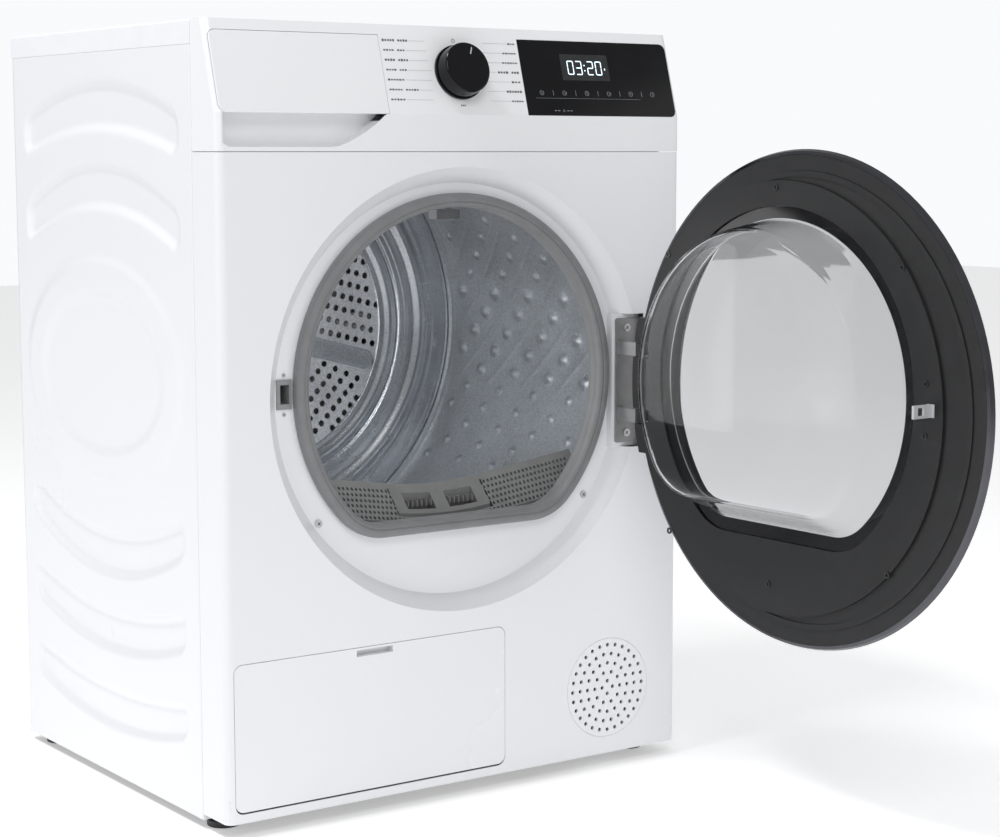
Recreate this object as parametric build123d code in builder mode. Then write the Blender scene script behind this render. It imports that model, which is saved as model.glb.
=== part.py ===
from build123d import *
import os
from math import asin, atan2, cos, degrees, hypot, radians, sin, sqrt

# A front-loading heat-pump clothes dryer, in millimetres.
# X runs to the right as seen from the front, Y to the rear and Z up.
# The floor is Z = 0, and X = 0, Y = 0 is the middle of the cabinet.

# ---------------------------------------------------------------- cabinet
width = 595.0
depth = 510.0
top = 842.0
half = width / 2
front = -depth / 2
rear = depth / 2
sheet = 1.2
corner_radius = 9.0
side_bottom = 10.0
base_pad_z = 6.0                # underside of the flat pad in the middle of the base
front_bottom = 16.5
wrap = 54.5                     # how far the front panel turns back along the sides
seam = front + wrap
split = 709.0                   # joint between the front panel and the control panel
joint_gap = 0.6
worktop_bottom = 817.0
rear_overhang = 3.0

# ------------------------------------------------- control panel and fascia
fascia_bottom = 748.0
fascia_top = 831.0
fascia_setback = 24.0
fascia_tilt = atan2(fascia_setback, fascia_top - fascia_bottom)
fascia_height = hypot(fascia_setback, fascia_top - fascia_bottom)
panel_wall = 2.5
drawer_left, drawer_right = -293.8, -94.6
display_left, display_right = 84.4, 291.9
knob_radius = 30.0
knob_height = 21.0
knob_up = 46.3                  # knob centre above the lower edge of the fascia
shaft_radius = 3.0
running_fit = 0.05

# --------------------------------------------------------- drum and mouth
drum_z = 490.0
drum_radius = 276.0
drum_wall = 1.5
drum_front = -192.0
drum_rear = 197.5
drum_shaft_radius = 10.0
mouth_z = 460.0                 # the mouth sits lower than the drum's axis
mouth_radius = 205.0            # outer edge of the door seal
mouth_chord = 297.0             # its flat bottom
mouth_corner = 70.0
seal_width = 16.0
recess_z = 450.6
recess_radius = 241.7
recess_floor_radius = 225.0
recess_depth = 20.0
floor_y = front + recess_depth
bulkhead_y = -224.0
collar_radius = 268.0
collar_end = -184.0
ramp_front_z = 303.5
ramp_rear_z = 342.0
ramp_curve = 840.0              # the ramp rises by x squared over this
ramp_half = 190.0

# -------------------------------------------------------------------- door
hinge_x = 236.5
hinge_y = -278.5
open_angle = 91.7
ring_x = -26.3                  # the door ring is set off towards the handle side
ring_z = 450.6
rim_radius = 255.3
rim_y = -257.5
glass_radius = 221.5
window_z = 462.0
window_radius = 191.0
window_chord = 300.5
window_corner = 64.0
arm_heights = (411.0, 487.0)
arm_height = 15.0
pin_radius = 2.5

# ------------------------------------------------------------ small pieces
flap_left, flap_right = -288.0, 51.0
flap_bottom, flap_top = 28.0, 184.0
flap_axis_y, flap_axis_z = -252.2, 36.0
grille_x, grille_z = 196.0, 94.0
grille_radius = 57.5
motor_x, motor_z = 195.0, 112.0
pulley_radius = 10.0
belt_width = 9.0
belt_thickness = 2.0
belt_gap = 0.3
idler_radius = 16.0
roller_radius = 22.0
roller_angle = 38.0
roller_distance = drum_radius + roller_radius + belt_gap
roller_x = roller_distance * sin(radians(roller_angle))
roller_z = drum_z - roller_distance * cos(radians(roller_angle))
foot_places = {
    "front_left": (-271.0, -195.0),
    "front_right": (271.0, -195.0),
    "rear_left": (-271.0, 222.0),
    "rear_right": (271.0, 222.0),
}

os.makedirs("parts", exist_ok=True)


def save(piece, name):
    """Label a finished sub-part and write its STEP file."""
    piece.part.label = name
    export_step(piece.part, f"parts/{name}.step")


def facing(y):
    """Plane across the dryer at depth y: sketch x runs right and sketch y up."""
    return Plane.XZ.offset(-y)


def turned(x, y):
    """Where a point of the closed door stands when the door is open."""
    angle = radians(open_angle)
    dx, dy = x - hinge_x, y - hinge_y
    return (
        hinge_x + dx * cos(angle) - dy * sin(angle),
        hinge_y + dx * sin(angle) + dy * cos(angle),
    )


def door_facing(y):
    """The plane facing(y) of the closed door, turned to where the open door stands."""
    angle = radians(open_angle)
    x_open, y_open = turned(0, y)
    return Plane(
        origin=(x_open, y_open, 0),
        x_dir=(cos(angle), sin(angle), 0),
        z_dir=(sin(angle), -cos(angle), 0),
    )


def door_plan(z):
    """Horizontal plane at height z whose sketch holds the closed door's x and y."""
    angle = radians(open_angle)
    x_open, y_open = turned(0, 0)
    return Plane(
        origin=(x_open, y_open, z),
        x_dir=(cos(angle), sin(angle), 0),
        z_dir=(0, 0, 1),
    )


def d_shape(radius, chord, corner, centre):
    """A circle about (0, centre) cut flat at height chord, its two corners rounded."""
    with BuildSketch(mode=Mode.PRIVATE) as outline:
        with Locations((0, centre)):
            Circle(radius)
        with Locations((0, chord - radius)):
            Rectangle(3 * radius, 2 * radius, mode=Mode.SUBTRACT)
        fillet(outline.vertices().sort_by(Axis.Y)[:2], corner)
    return outline.sketch


def mouth(grow):
    """The drum mouth's outline, grown outwards by grow."""
    return d_shape(mouth_radius + grow, mouth_chord - grow, mouth_corner + grow, mouth_z)


def window(grow):
    """The door window's outline, grown outwards by grow."""
    return d_shape(window_radius + grow, window_chord - grow, window_corner + grow, window_z)


def span(low, high):
    """Middle and length of the stretch from low to high."""
    return (low + high) / 2, high - low


def block(x_range, y_range, z_range, mode=Mode.ADD):
    """A box between the given limits, in the active part."""
    places, sizes = zip(span(*x_range), span(*y_range), span(*z_range))
    with Locations(places):
        Box(*sizes, mode=mode)


def rod(x, z, radius, y_range, mode=Mode.ADD):
    """A round bar along Y, in the active part."""
    middle, length = span(*y_range)
    with Locations(Location((x, middle, z), (90, 0, 0))):
        Cylinder(radius, length, mode=mode)


def fascia_plane(height=0.0):
    """The leaning face of the control panel, moved out by height."""
    face = Plane(
        origin=(0, front, fascia_bottom),
        x_dir=(1, 0, 0),
        z_dir=(0, -cos(fascia_tilt), sin(fascia_tilt)),
    )
    return face.offset(height)


# ===================================================== outer casing
# Side panel: folded sheet with five pressed channels and one raised oval ring.
press_middle = 27.0             # Y of the pressings' centre line
press_half = 192.0
press_depth = 4.0
ring_height = 2.5
oval_z = 465.0
oval_outer = (196.0, 126.0)
oval_inner = (152.0, 87.0)
# (height at the ends, height in the middle) of each channel's upper and lower edge
channels = (
    ((746.0, 782.0), (708.0, 735.0)),
    ((646.0, 693.0), (607.0, 649.0)),
    ((321.0, 283.0), (287.0, 241.0)),
    ((221.0, 194.0), (187.0, 155.0)),
    ((125.0, 107.0), (92.0, 66.0)),
)


def channel_outline(upper, lower, shrink):
    """One pressed channel between two shallow arcs, shrunk by shrink."""
    left = press_middle - press_half + shrink
    right = press_middle + press_half - shrink
    with BuildSketch(mode=Mode.PRIVATE) as outline:
        with BuildLine():
            crest = ThreePointArc(
                (left, upper[0] - shrink), (press_middle, upper[1] - shrink), (right, upper[0] - shrink)
            )
            trough = ThreePointArc(
                (left, lower[0] + shrink), (press_middle, lower[1] + shrink), (right, lower[0] + shrink)
            )
            Line(crest @ 0, trough @ 0)
            Line(crest @ 1, trough @ 1)
        make_face()
        fillet(outline.vertices(), 13.0 - shrink)
    return outline.sketch


with BuildPart() as left_side_panel:
    outer_face = Plane.YZ.offset(-half)
    front_flange, rear_flange = 5.0, 12.0
    side_front, side_rear = seam + joint_gap, rear - sheet
    block((-half, -half + sheet), (side_front, side_rear), (side_bottom, worktop_bottom))
    for flange, y_range in (
        (front_flange, (side_front, side_front + sheet)),
        (rear_flange, (side_rear - sheet, side_rear)),
    ):
        block((-half + sheet, -half + flange), y_range, (side_bottom + 8, worktop_bottom - 3))
    with BuildSketch(outer_face):
        for upper, lower in channels:
            add(channel_outline(upper, lower, 0))
    extrude(amount=press_depth + sheet)
    with BuildSketch(outer_face):
        for upper, lower in channels:
            add(channel_outline(upper, lower, sheet))
    extrude(amount=press_depth, mode=Mode.SUBTRACT)
    with BuildSketch(outer_face):
        with Locations((press_middle, oval_z)):
            Ellipse(*oval_outer)
            Ellipse(*oval_inner, mode=Mode.SUBTRACT)
    extrude(amount=-ring_height)
    with BuildSketch(outer_face.offset(sheet)):
        with Locations((press_middle, oval_z)):
            Ellipse(oval_outer[0] - sheet, oval_outer[1] - sheet)
            Ellipse(oval_inner[0] + sheet, oval_inner[1] + sheet, mode=Mode.SUBTRACT)
    extrude(amount=-ring_height, mode=Mode.SUBTRACT)
save(left_side_panel, "left_side_panel")

with BuildPart() as right_side_panel:
    mirror(left_side_panel.part, about=Plane.YZ)
save(right_side_panel, "right_side_panel")

# Rear panel: flat sheet with louvre slots, the drain and cable holes and a pressed cross.
gland_x, gland_z = 232.0, 766.0
spigot_x, spigot_z = -236.0, 118.0
with BuildPart() as rear_panel:
    block((-half + sheet + 0.1, half - sheet - 0.1), (rear - sheet, rear), (side_bottom, worktop_bottom))
    with BuildSketch(facing(rear)):
        with Locations((0, drum_z)):
            Circle(212)
            Circle(196, mode=Mode.SUBTRACT)
    extrude(amount=-rear_overhang)
    with BuildSketch(facing(rear - sheet)):
        with Locations((0, drum_z)):
            Circle(212 - sheet)
            Circle(196 + sheet, mode=Mode.SUBTRACT)
    extrude(amount=-rear_overhang, mode=Mode.SUBTRACT)
    with BuildSketch(facing(rear - 2 * sheet)):
        with Locations((150, 105)):
            with GridLocations(0, 14, 1, 8):
                SlotOverall(180, 5)
        with Locations((gland_x, gland_z)):
            Circle(9)
        with Locations((spigot_x, spigot_z)):
            Circle(10)
    extrude(amount=-3 * sheet, mode=Mode.SUBTRACT)
save(rear_panel, "rear_panel")

with BuildPart() as worktop:
    block((-half, half), (seam + joint_gap, rear + rear_overhang), (worktop_bottom + 0.2, top))
    fillet(worktop.edges().group_by(Axis.Z)[-1], 2.5)
save(worktop, "worktop")

# Front panel: sheet with turned-back sides, the round door recess, the hinge seat,
# the flap and grille openings and the two hinge blocks of the service flap.
hinge_seat_y = -244.8
seat_x = (208.0, 246.0)
seat_z = (372.0, 525.0)
flap_gap = 0.6
with BuildPart() as front_panel:
    with BuildSketch(Plane.XY.offset(front_bottom)) as folded:
        with Locations((0, front + wrap / 2)):
            Rectangle(width, wrap)
        fillet(folded.vertices().group_by(Axis.Y)[0], corner_radius)
        offset(amount=-sheet, mode=Mode.SUBTRACT)
        with Locations((0, seam)):
            Rectangle(width - 2 * sheet, 4 * sheet, mode=Mode.SUBTRACT)
    extrude(amount=split - joint_gap - front_bottom)
    with BuildSketch(facing(front)):
        with Locations((0, recess_z)):
            Circle(recess_radius + sheet)
    with BuildSketch(facing(floor_y + sheet)):
        with Locations((0, recess_z)):
            Circle(recess_floor_radius + sheet)
    loft()
    with BuildSketch(facing(front - 0.01)):
        with Locations((0, recess_z)):
            Circle(recess_radius)
    with BuildSketch(facing(floor_y)):
        with Locations((0, recess_z)):
            Circle(recess_floor_radius)
    loft(mode=Mode.SUBTRACT)
    block(seat_x, (hinge_seat_y, floor_y + sheet), seat_z)
    block(seat_x, (front - 1, hinge_seat_y), seat_z, Mode.SUBTRACT)
    block(
        (seat_x[0] + sheet, seat_x[1] + 1),
        (hinge_seat_y + 2 * sheet, floor_y + 2 * sheet),
        (seat_z[0] + sheet, seat_z[1] - sheet),
        Mode.SUBTRACT,
    )
    with BuildSketch(facing(floor_y - 0.5)):
        add(mouth(-6.5))
        with Locations((-215.0, 458.5)):
            Rectangle(17, 29)
    extrude(amount=-3, mode=Mode.SUBTRACT)
    with BuildSketch(facing(front - 1)):
        flap_x, flap_width = span(flap_left, flap_right)
        flap_z, flap_height = span(flap_bottom - 2, flap_top + flap_gap)
        with Locations((flap_x, flap_z)):
            RectangleRounded(flap_width + 2 * flap_gap, flap_height, 10)
        with Locations((grille_x, grille_z)):
            Circle(grille_radius + 0.4)
    extrude(amount=-4, mode=Mode.SUBTRACT)
    for x_range in ((flap_left - 7.6, flap_left - 1.0), (flap_right + 1.0, flap_right + 7.6)):
        block(x_range, (front + sheet, flap_axis_y + 4), (flap_axis_z - 6, flap_axis_z + 6))
    with Locations(Location((span(flap_left, flap_right)[0], flap_axis_y, flap_axis_z), (0, 90, 0))):
        Cylinder(1.5 + running_fit, flap_right - flap_left + 12, mode=Mode.SUBTRACT)
save(front_panel, "front_panel")

# ===================================================== control panel
grip_depth = 20.0
cut_out_depth = 5.5
with BuildPart() as control_panel:
    with BuildSketch(Plane.YZ.offset(-half)):
        with BuildLine():
            Polyline(
                (front, split),
                (front, fascia_bottom),
                (front + fascia_setback, fascia_top),
                (front + fascia_setback + 3.5, top),
                (seam, top),
                (seam, split),
                close=True,
            )
        make_face()
    extrude(amount=width)
    front_corners = control_panel.edges().filter_by(
        lambda e: abs(abs(e.center().X) - half) < 0.1 and e.center().Y < front + 26 and e.length > 10
        and abs(e.tangent_at(0.5).Z) > 0.8
    )
    fillet(front_corners, corner_radius - 1)
    with BuildSketch(Plane.YZ.offset(-half + panel_wall)):
        with BuildLine():
            Polyline(
                (front + panel_wall, split - 1),
                (front + panel_wall, fascia_bottom + 0.4),
                (front + fascia_setback + panel_wall, fascia_top - 0.4),
                (front + fascia_setback + 5, top - panel_wall),
                (seam + 1, top - panel_wall),
                (seam + 1, split - 1),
                close=True,
            )
        make_face()
    extrude(amount=width - 2 * panel_wall, mode=Mode.SUBTRACT)
    for reach, mode in ((2.0, Mode.ADD), (0.0, Mode.SUBTRACT)):
        with BuildSketch(facing(front if reach else front - 1)):
            with BuildLine():
                Polyline(
                    (-97 + reach, fascia_bottom + 0.5 + reach),
                    (-291 - reach, fascia_bottom + 0.5 + reach),
                    (-291 - reach, 718 - reach),
                    (-284 - reach, 713.5 - reach),
                    (-168, 713.5 - reach),
                )
                Spline(
                    (-168, 713.5 - reach),
                    (-137, 722 - reach),
                    (-97 + reach, fascia_bottom + 0.5 + reach),
                    tangents=((1, 0), (0.75, 0.66)),
                )
            make_face()
        extrude(amount=-(grip_depth + (reach if reach else 1)), mode=mode)
    with BuildSketch(fascia_plane(1)) as cut_outs:
        for x_range in ((drawer_left, drawer_right), (display_left, display_right)):
            x_middle, x_length = span(*x_range)
            with Locations((x_middle, fascia_height / 2)):
                Rectangle(x_length + 1, fascia_height)
        outer_ends = cut_outs.vertices().group_by(Axis.X)
        fillet(outer_ends[0] + outer_ends[-1], 8.3)
        with Locations((0, knob_up)):
            Circle(6)
    extrude(amount=-cut_out_depth, mode=Mode.SUBTRACT)
save(control_panel, "control_panel")

with BuildPart() as display_glass:
    with BuildSketch(fascia_plane(-3)) as pane:
        x_middle, x_length = span(display_left, display_right)
        with Locations((x_middle, fascia_height / 2)):
            Rectangle(x_length, fascia_height - 0.8)
        fillet(pane.vertices().group_by(Axis.X)[-1], 8)
    extrude(amount=3)
    fillet(display_glass.faces().sort_by(Axis.Y)[0].edges(), 0.6)
save(display_glass, "display_glass")

with BuildPart() as control_board:
    with BuildSketch(fascia_plane(-15.6)):
        with Locations((104, 43)):
            Rectangle(368, 68)
    extrude(amount=1.6)
    with BuildSketch(fascia_plane(-14)):
        with Locations((188, 43)):
            Rectangle(190, 64)
            Rectangle(184, 58, mode=Mode.SUBTRACT)
        with Locations((0, knob_up)):
            Circle(10)
    extrude(amount=10.8)
    with BuildSketch(fascia_plane(-14)):
        with GridLocations(44, 30, 3, 2):
            Rectangle(12, 9)
    extrude(amount=4)
    with BuildSketch(fascia_plane(-20)):
        with Locations((0, knob_up)):
            Circle(shaft_radius + running_fit)
    extrude(amount=20, mode=Mode.SUBTRACT)
save(control_board, "control_board")

with BuildPart() as program_knob:
    with BuildSketch(fascia_plane(0.6)):
        with Locations((0, knob_up)):
            Circle(knob_radius)
    extrude(amount=3)
    with BuildSketch(fascia_plane(3.6)):
        with Locations((0, knob_up)):
            Circle(knob_radius - 1.5)
    extrude(amount=knob_height - 3.6, taper=3)
    fillet(program_knob.faces().sort_by(Axis.Y)[0].edges(), 2)
    with BuildSketch(fascia_plane(0.6)):
        with Locations((0, knob_up)):
            Circle(shaft_radius)
    extrude(amount=-14)
save(program_knob, "program_knob")

# ===================================================== water tank drawer
tank_bottom, tank_top = 754.0, 813.0
tank_rear = 110.0
tank_wall = 2.2
front_thickness = 3.0


def behind_fascia(z, inset):
    """Y of the surface that lies inset behind the leaning fascia, at height z."""
    return front + inset / cos(fascia_tilt) + (z - fascia_bottom) * fascia_setback / (fascia_top - fascia_bottom)


with BuildPart() as tank_front:
    with BuildSketch(fascia_plane(-front_thickness)) as plate:
        x_middle, x_length = span(drawer_left, drawer_right)
        with Locations((x_middle, fascia_height / 2)):
            Rectangle(x_length, fascia_height - 0.8)
        fillet(plate.vertices().group_by(Axis.X)[0], 8)
    extrude(amount=front_thickness)
    fillet(tank_front.faces().sort_by(Axis.Y)[0].edges(), 0.8)
save(tank_front, "tank_front")

with BuildPart() as tank_tub:
    for inset in (0.0, tank_wall):
        with BuildSketch(Plane.YZ.offset(-289 + inset)):
            with BuildLine():
                low, high = tank_bottom + inset, tank_top - inset
                Polyline(
                    (behind_fascia(low, front_thickness + inset), low),
                    (behind_fascia(high, front_thickness + inset), high),
                    (tank_rear - inset, high),
                    (tank_rear - inset, low),
                    close=True,
                )
            make_face()
        extrude(amount=190 - 2 * inset, mode=Mode.SUBTRACT if inset else Mode.ADD)
    block((-214, -174), (56, 96), (tank_top - 5, tank_top + 5), Mode.SUBTRACT)
save(tank_tub, "tank_tub")

with BuildPart() as tank_rail:
    block((-292, -112), (-226, 125), (751, 753))
    block((-292, -290), (-226, 125), (753, 806))
save(tank_rail, "tank_rail")

# ===================================================== frame inside the casing
with BuildPart() as crossbars:
    block((-291, 291), (-232, -226), (722, 746))
    block((-291, 291), (222, 248), (780, 815))
    block((-289, 289), (224, 246), (782, 813), Mode.SUBTRACT)
save(crossbars, "crossbars")

with BuildPart() as base_tub:
    block((-285, 285), (-229, 250), (14, 62))
    block((-282, 282), (-226, 247), (17, 63), Mode.SUBTRACT)
    block((-80, 80), (-60, 60), (base_pad_z, 15))
    for x, y in foot_places.values():
        with Locations((x, y, 26)):
            Cylinder(11, 18)
    for x, y in foot_places.values():
        with Locations((x, y, 30)):
            Cylinder(4 + running_fit, 60, mode=Mode.SUBTRACT)
    block((90, 93), (-227, 248), (17, 50))
save(base_tub, "base_tub")

with BuildPart() as front_bulkhead:
    block((-291, 291), (bulkhead_y, bulkhead_y + 2), (162, 722))
    with BuildSketch(facing(bulkhead_y + 2)):
        with Locations((0, drum_z)):
            Circle(collar_radius)
            Circle(collar_radius - 2, mode=Mode.SUBTRACT)
    extrude(amount=-(collar_end - bulkhead_y - 2))
    with BuildSketch(facing(bulkhead_y - 1)):
        add(mouth(-7))
        with Locations((-216, 458.5)):
            Rectangle(30, 40)
    extrude(amount=-4, mode=Mode.SUBTRACT)
    for x in (-roller_x, roller_x):
        rod(x, roller_z, 5, (bulkhead_y + 1, -160))
        rod(x, roller_z, 9, (bulkhead_y + 1, -187))
save(front_bulkhead, "front_bulkhead")

rear_bulkhead_y = 204.0
with BuildPart() as rear_bulkhead:
    block((-291, 291), (rear_bulkhead_y, rear_bulkhead_y + 2), (64, 778))
    with BuildSketch(facing(rear_bulkhead_y + 2)):
        with Locations((0, drum_z)):
            Circle(232)
            Circle(229, mode=Mode.SUBTRACT)
    extrude(amount=-40)
    with BuildSketch(facing(rear_bulkhead_y + 42)):
        with Locations((0, drum_z)):
            Circle(232)
    extrude(amount=-2)
    with BuildSketch(facing(rear_bulkhead_y - 1)):
        with Locations((0, drum_z)):
            Circle(225)
            Circle(60, mode=Mode.SUBTRACT)
            Rectangle(500, 26, mode=Mode.SUBTRACT)
            Rectangle(26, 500, mode=Mode.SUBTRACT)
    extrude(amount=-4, mode=Mode.SUBTRACT)
    rod(0, drum_z, 18, (rear_bulkhead_y, rear_bulkhead_y + 42))
    rod(0, drum_z, drum_shaft_radius + running_fit, (rear_bulkhead_y - 1, 240), Mode.SUBTRACT)
save(rear_bulkhead, "rear_bulkhead")

with BuildPart() as drum_felt_seals:
    rod(0, drum_z, drum_radius - drum_wall - 0.4, (drum_front + 1, collar_end))
    rod(0, drum_z, collar_radius, (drum_front, collar_end + 1), Mode.SUBTRACT)
    rod(0, drum_z, drum_radius - 4, (drum_rear + 0.4, rear_bulkhead_y))
    rod(0, drum_z, 240, (drum_rear, rear_bulkhead_y + 1), Mode.SUBTRACT)
save(drum_felt_seals, "drum_felt_seals")

with BuildPart() as door_seal:
    with BuildSketch(facing(floor_y - 13)):
        add(mouth(0))
    extrude(amount=-12.9)
    fillet(door_seal.faces().sort_by(Axis.Y)[0].edges(), 5)
    with BuildSketch(facing(floor_y - 0.1)):
        add(mouth(-7))
    extrude(amount=-(bulkhead_y - floor_y))
    with BuildSketch(facing(floor_y - 14)):
        add(mouth(-seal_width))
    extrude(amount=-30, mode=Mode.SUBTRACT)
save(door_seal, "door_seal")

with BuildPart() as drum_lamp:
    block((-15, 15), (bulkhead_y + 2.2, -206), (636, 646))
save(drum_lamp, "drum_lamp")


# ===================================================== drum
with BuildPart() as drum_shell:
    rod(0, drum_z, drum_radius, (drum_front, drum_rear - 1.5))
    rod(0, drum_z, drum_radius - drum_wall, (drum_front - 1, drum_rear), Mode.SUBTRACT)
    for y in (118.0, 140.0):
        with BuildSketch(facing(y)):
            with Locations((0, drum_z)):
                Circle(drum_radius - drum_wall)
                Circle(drum_radius - drum_wall - 2.5, mode=Mode.SUBTRACT)
        extrude(amount=-7)
save(drum_shell, "drum_shell")

# Its rear wall has three raised bars, each along a chord a little off the axis, and
# staggered rows of air holes between them.
bar_angle = -14.6
bar_offset = -8.0
bar_reach = (55.0, 166.0)
bar_width = 26.0
hole_pitch = 12.8
hole_rows = 16.5
hole_field = 166.0
with BuildPart() as drum_back:
    rod(0, drum_z, drum_radius, (drum_rear - 1.5, drum_rear))
    rod(0, drum_z, drum_shaft_radius, (drum_rear, 236))
    rod(0, drum_z, 50, (drum_rear - 6, drum_rear - 1.5))
    for turn in (0, 120, 240):
        with BuildSketch(facing(drum_rear - 9)):
            with Locations(Location((0, drum_z, 0), (0, 0, bar_angle + turn))):
                with Locations((sum(bar_reach) / 2, bar_offset)):
                    SlotOverall(bar_reach[1] - bar_reach[0], bar_width)
        extrude(amount=-7.5)
    with BuildSketch(facing(drum_rear - 3)):
        for turn in (0, 120, 240):
            with Locations(Location((0, drum_z, 0), (0, 0, bar_angle + turn))):
                for row in range(1, 9):
                    for step in range(-2, 13):
                        along = step * hole_pitch + (row % 2) * hole_pitch / 2
                        aside = bar_offset + bar_width / 2 + 9 + (row - 1) * hole_rows
                        bearing = degrees(atan2(aside - bar_offset, along))
                        if 58 < hypot(along, aside) < hole_field and bearing < 104 - 16 * row / 9:
                            with Locations((along, aside)):
                                Circle(4.1)
    extrude(amount=-4, mode=Mode.SUBTRACT)
save(drum_back, "drum_back")

lifter_angles = (50.0, 170.0, 290.0)
with BuildPart() as drum_lifters:
    with BuildSketch(facing(-150)):
        for angle in lifter_angles:
            with Locations(Location((0, drum_z, 0), (0, 0, angle - 90))):
                with Locations((0, 249.3)):
                    Trapezoid(62, 46, 66, rotation=180)
    extrude(amount=-262)
    fillet(drum_lifters.edges().filter_by(Axis.Y), 4)
save(drum_lifters, "drum_lifters")

# ===================================================== lint filter and its housing
housing_front, housing_rear = bulkhead_y + 2.2, -186.0
housing_radius = 265.0


def ramp_profile(centre_z, inset):
    """Section of the filter housing: a drum segment under a gently dished top."""
    reach = ramp_half - inset
    radius = housing_radius - inset
    rim_z = centre_z - inset + reach ** 2 / ramp_curve
    with BuildSketch(mode=Mode.PRIVATE) as outline:
        with BuildLine():
            side_z = drum_z - sqrt(radius ** 2 - reach ** 2)
            ThreePointArc((-reach, side_z), (0, drum_z - radius), (reach, side_z))
            Line((reach, side_z), (reach, rim_z))
            ThreePointArc((reach, rim_z), (0, centre_z - inset), (-reach, rim_z))
            Line((-reach, rim_z), (-reach, side_z))
        make_face()
    return outline.sketch


slot_x = (-61.2, 61.2)
slot_y = (-214.2, -189.6)
with BuildPart() as filter_housing:
    for inset, mode in ((0.0, Mode.ADD), (2.2, Mode.SUBTRACT)):
        with BuildSketch(facing(housing_front + inset)):
            add(ramp_profile(ramp_front_z, inset))
        with BuildSketch(facing(housing_rear - inset)):
            add(ramp_profile(ramp_rear_z, inset))
        loft(ruled=True, mode=mode)
    with BuildSketch(Plane.XY.offset(400)):
        with Locations((0, -203)):
            with GridLocations(14, 9, 26, 3):
                Circle(2.3)
            Rectangle(140, 40, mode=Mode.SUBTRACT)
    extrude(amount=-110, mode=Mode.SUBTRACT)
    block(slot_x, slot_y, (290, 420), Mode.SUBTRACT)
save(filter_housing, "filter_housing")

with BuildPart() as lint_filter:
    filter_x = (slot_x[0] + 0.7, slot_x[1] - 0.7)
    filter_y = (slot_y[0] + 0.7, slot_y[1] - 0.7)
    with BuildSketch(facing(housing_front)):
        add(ramp_profile(ramp_front_z, 0))
    with BuildSketch(facing(housing_rear)):
        add(ramp_profile(ramp_rear_z, 0))
    loft(ruled=True)
    block(filter_x, filter_y, (237, 420), Mode.INTERSECT)
    block(
        (filter_x[0] + 2, filter_x[1] - 2), (filter_y[0] + 2, filter_y[1] - 2), (239, 312), Mode.SUBTRACT
    )
    for x_range in ((-46, -9), (9, 46)):
        block(x_range, (filter_y[0] + 4, filter_y[1] - 4), (300, 420), Mode.SUBTRACT)
    for x_range in ((-54, -3), (3, 54)):
        block(x_range, (filter_y[0] - 1, filter_y[1] + 1), (247, 296), Mode.SUBTRACT)
save(lint_filter, "lint_filter")

# ===================================================== door latch
with BuildPart() as latch_housing:
    block((-223.4, -205.8), (floor_y - 2, floor_y), (443, 474))
    block((-223.2, -206.8), (floor_y, floor_y + sheet), (444.5, 472.5))
    block((-229, -206.8), (floor_y + sheet, -206), (441, 476))
    block((-219.5, -208.8), (floor_y - 3, -208), (448.5, 468.5), Mode.SUBTRACT)
    block((-227, -208.8), (floor_y + 2 * sheet, -208), (448.5, 468.5), Mode.SUBTRACT)
    with Locations((-218.4, -213, 458.5)):
        Cylinder(1.5, 24)
save(latch_housing, "latch_housing")

with BuildPart() as latch_catch:
    block((-220.4, -216.4), (-230.5, -213), (450, 467))
    with Locations((-218.4, -213, 458.5)):
        Cylinder(3.2, 17)
        Cylinder(1.5 + running_fit, 20, mode=Mode.SUBTRACT)
save(latch_catch, "latch_catch")

# ===================================================== door hinge, cabinet side
leg_x = (213.5, 216.5)
bar_y = (-281.5, -278.5)
plate_y = (-247.0, hinge_seat_y)
with BuildPart() as hinge_bracket:
    block((212, 243), plate_y, (377, 520))
    fillet(hinge_bracket.edges().filter_by(Axis.Y), 3)
    for z in arm_heights:
        with BuildSketch(Plane.XY.offset(z - arm_height / 2)) as arm:
            for x_range, y_range in (
                (leg_x, (bar_y[0], plate_y[0])),
                ((leg_x[0], hinge_x), bar_y),
                ((leg_x[0], leg_x[1] + 8), (plate_y[0] - 2, plate_y[0])),
            ):
                (x_middle, x_length), (y_middle, y_length) = span(*x_range), span(*y_range)
                with Locations((x_middle, y_middle)):
                    Rectangle(x_length, y_length)
            with Locations((hinge_x, hinge_y)):
                Circle(4.5)
                Circle(pin_radius + running_fit, mode=Mode.SUBTRACT)
        extrude(amount=arm_height)
save(hinge_bracket, "hinge_bracket")

# ===================================================== door
ear_x = 205.0
ear_z = (370.0, 523.0)
ear_front_y = -287.5
ear_radius = 268.5
notch_x = 212.0
notch_y = -284.4
notch_half = 9.0
land_radius = 229.0
land_y = -254.5


def ear_outline(grow):
    """The hinge housing at the door's edge: an arc-ended block, grown by grow."""
    with BuildSketch(mode=Mode.PRIVATE) as outline:
        with Locations((ring_x, ring_z)):
            Circle(ear_radius + grow)
        x_middle, x_length = span(ear_x - grow, half)
        z_middle, z_length = span(ear_z[0] - grow, ear_z[1] + grow)
        with Locations((x_middle, z_middle)):
            Rectangle(x_length, z_length, mode=Mode.INTERSECT)
    return outline.sketch


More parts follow.
